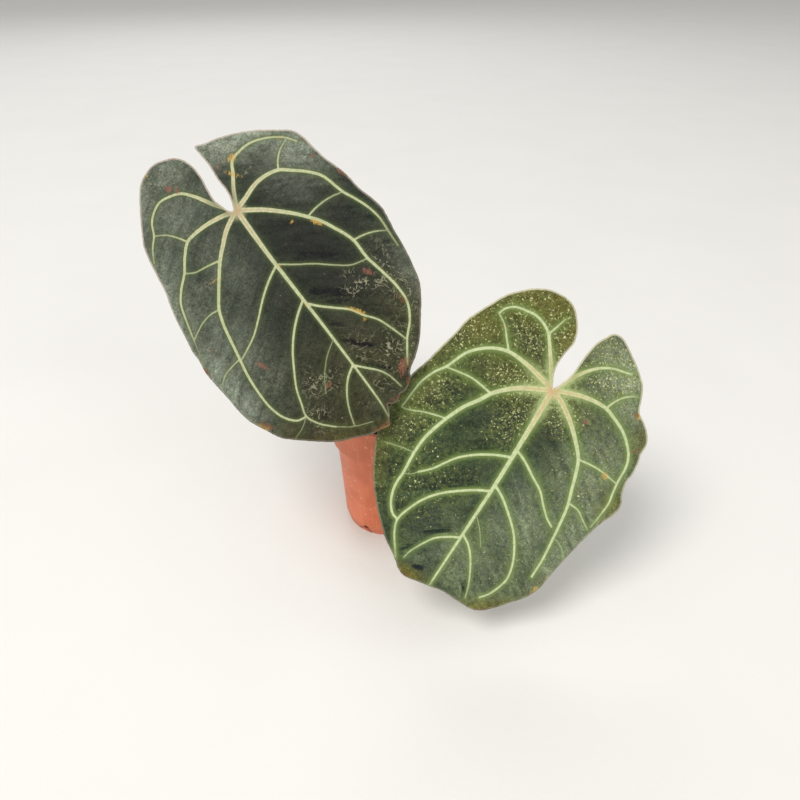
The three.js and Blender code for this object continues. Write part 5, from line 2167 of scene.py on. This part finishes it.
    def loose_fibres(self) -> Piece:
        """Makes short fibres that lie on the mix.

        Returns:
            The piece.
        """
        rng = random.Random(self.fibre_seed)
        vertices, faces, skin = [], [], []
        reach = self.pot.inner_radius(self.mouth_height) - self.gap - 9
        for x, y in self.places(self.fibres, rng, reach):
            angle = rng.uniform(0, TURN)
            length, bow = rng.uniform(7, 15), rng.uniform(-3, 3)
            route = []
            for t in (-0.5, -0.2, 0.15, 0.5):
                px = x + math.cos(angle) * length * t - math.sin(angle) * bow * t * t * 4
                py = y + math.sin(angle) * length * t + math.cos(angle) * bow * t * t * 4
                route.append((px, py, self.top(px, py) + rng.uniform(0.6, 2.2)))
            row = smooth_row(route, False, 1)
            part, part_faces, part_skin = swept_tube(row, np.full(len(row), rng.uniform(0.2, 0.4)), 7)
            faces += [tuple(k + len(vertices) for k in f) for f in part_faces]
            vertices += part.tolist()
            skin += part_skin.tolist()
        material = BarkFinish(name="loose_fibre").material()
        piece = make_mesh("loose_fibres", np.array(vertices), faces, [material])
        add_field(piece, "skin", np.array(skin))
        add_field(piece, "tone", np.full(len(vertices), 0.8))
        return piece


@dataclass(frozen=True)
class Lamp:
    """One large soft lamp, with its middle, the point that it faces and its width in mm."""

    name: str
    place: tuple
    aim: tuple
    size: float
    watts: float
    colour: tuple

    def build(self) -> None:
        """Hangs the lamp."""
        data = bpy.data.lights.new(self.name, "AREA")
        data.shape = "DISK"
        data.size = self.size * MM
        data.energy = self.watts
        data.color = self.colour
        light = bpy.data.objects.new(self.name, data)
        light.location = Vector(self.place) * MM
        direction = (Vector(self.aim) - Vector(self.place)).normalized()
        light.rotation_euler = direction.to_track_quat("-Z", "Y").to_euler()
        bpy.context.scene.collection.objects.link(light)


@dataclass
class Studio:
    """The camera, the pale floor and the soft lights."""

    camera_place: tuple = (12.96, -546.46, 484.08)
    look_down: float = 33.0
    lens: float = 32.625
    sensor_width: float = 36
    floor_half: float = 12000
    floor_tiles: int = 8
    sky: Colour = (0.84, 0.83, 0.81, 1.0)
    sky_strength: float = 0.6
    lamps: tuple = (
        Lamp("key_light", (-1800, -2100, 4140), (-20, 0, 180), 2400, 165, (1.0, 0.98, 0.95)),
        Lamp("fill_light", (2700, -3600, 1740), (20, 0, 130), 3300, 72, (1.0, 0.98, 0.96)),
        Lamp("back_light", (-900, 3600, 2940), (0, 0, 180), 2700, 36, (0.95, 0.98, 1.0)),
    )

    def build(self) -> None:
        """Sets up the camera, the floor and the lights."""
        self.camera()
        self.floor()
        self.world()
        for lamp in self.lamps:
            lamp.build()

    def camera(self) -> None:
        """Places the camera at the photograph's viewing angle."""
        data = bpy.data.cameras.new("photo_camera")
        data.lens = self.lens
        data.sensor_width = self.sensor_width
        data.clip_start = 0.01
        camera = bpy.data.objects.new("photo_camera", data)
        camera.location = Vector(self.camera_place) * MM
        camera.rotation_euler = (math.radians(90 - self.look_down), 0, 0)
        bpy.context.scene.collection.objects.link(camera)
        bpy.context.scene.camera = camera

    def floor(self) -> None:
        """Lays the pale floor at the pot's foot."""
        tiles, row = self.floor_tiles, self.floor_tiles + 1
        steps = np.linspace(-self.floor_half, self.floor_half, row)
        vertices = np.array([(x, y, 0) for y in steps for x in steps])
        corners = [j * row + i for j in range(tiles) for i in range(tiles)]
        faces = [(c, c + 1, c + row + 1, c + row) for c in corners]
        floor = make_mesh("studio_floor", vertices, faces, [FloorFinish().material()])

    def world(self) -> None:
        """Fills the surroundings with an even, slightly warm light."""
        world = bpy.data.worlds.new("soft_sky")
        world.use_nodes = True
        background = world.node_tree.nodes["Background"]
        background.inputs["Color"].default_value = self.sky
        background.inputs["Strength"].default_value = self.sky_strength
        bpy.context.scene.world = world
        bpy.context.scene.view_settings.view_transform = "Standard"


def main() -> None:
    """Builds every piece in order."""
    Studio().build()
    pot = Pot()
    pot.build()
    PottingMix(pot).build()
    Stem().build()
    sheath = SheathFinish().material()
    for turn in Turn:
        DrySheath(turn, sheath).build()
    stalk = StalkFinish().material()
    for plan in (LEFT_LEAF, RIGHT_LEAF):
        LeafStalk(plan, stalk).build()
        LeafBlade(plan).build()


if __name__ == "__main__":
    main()
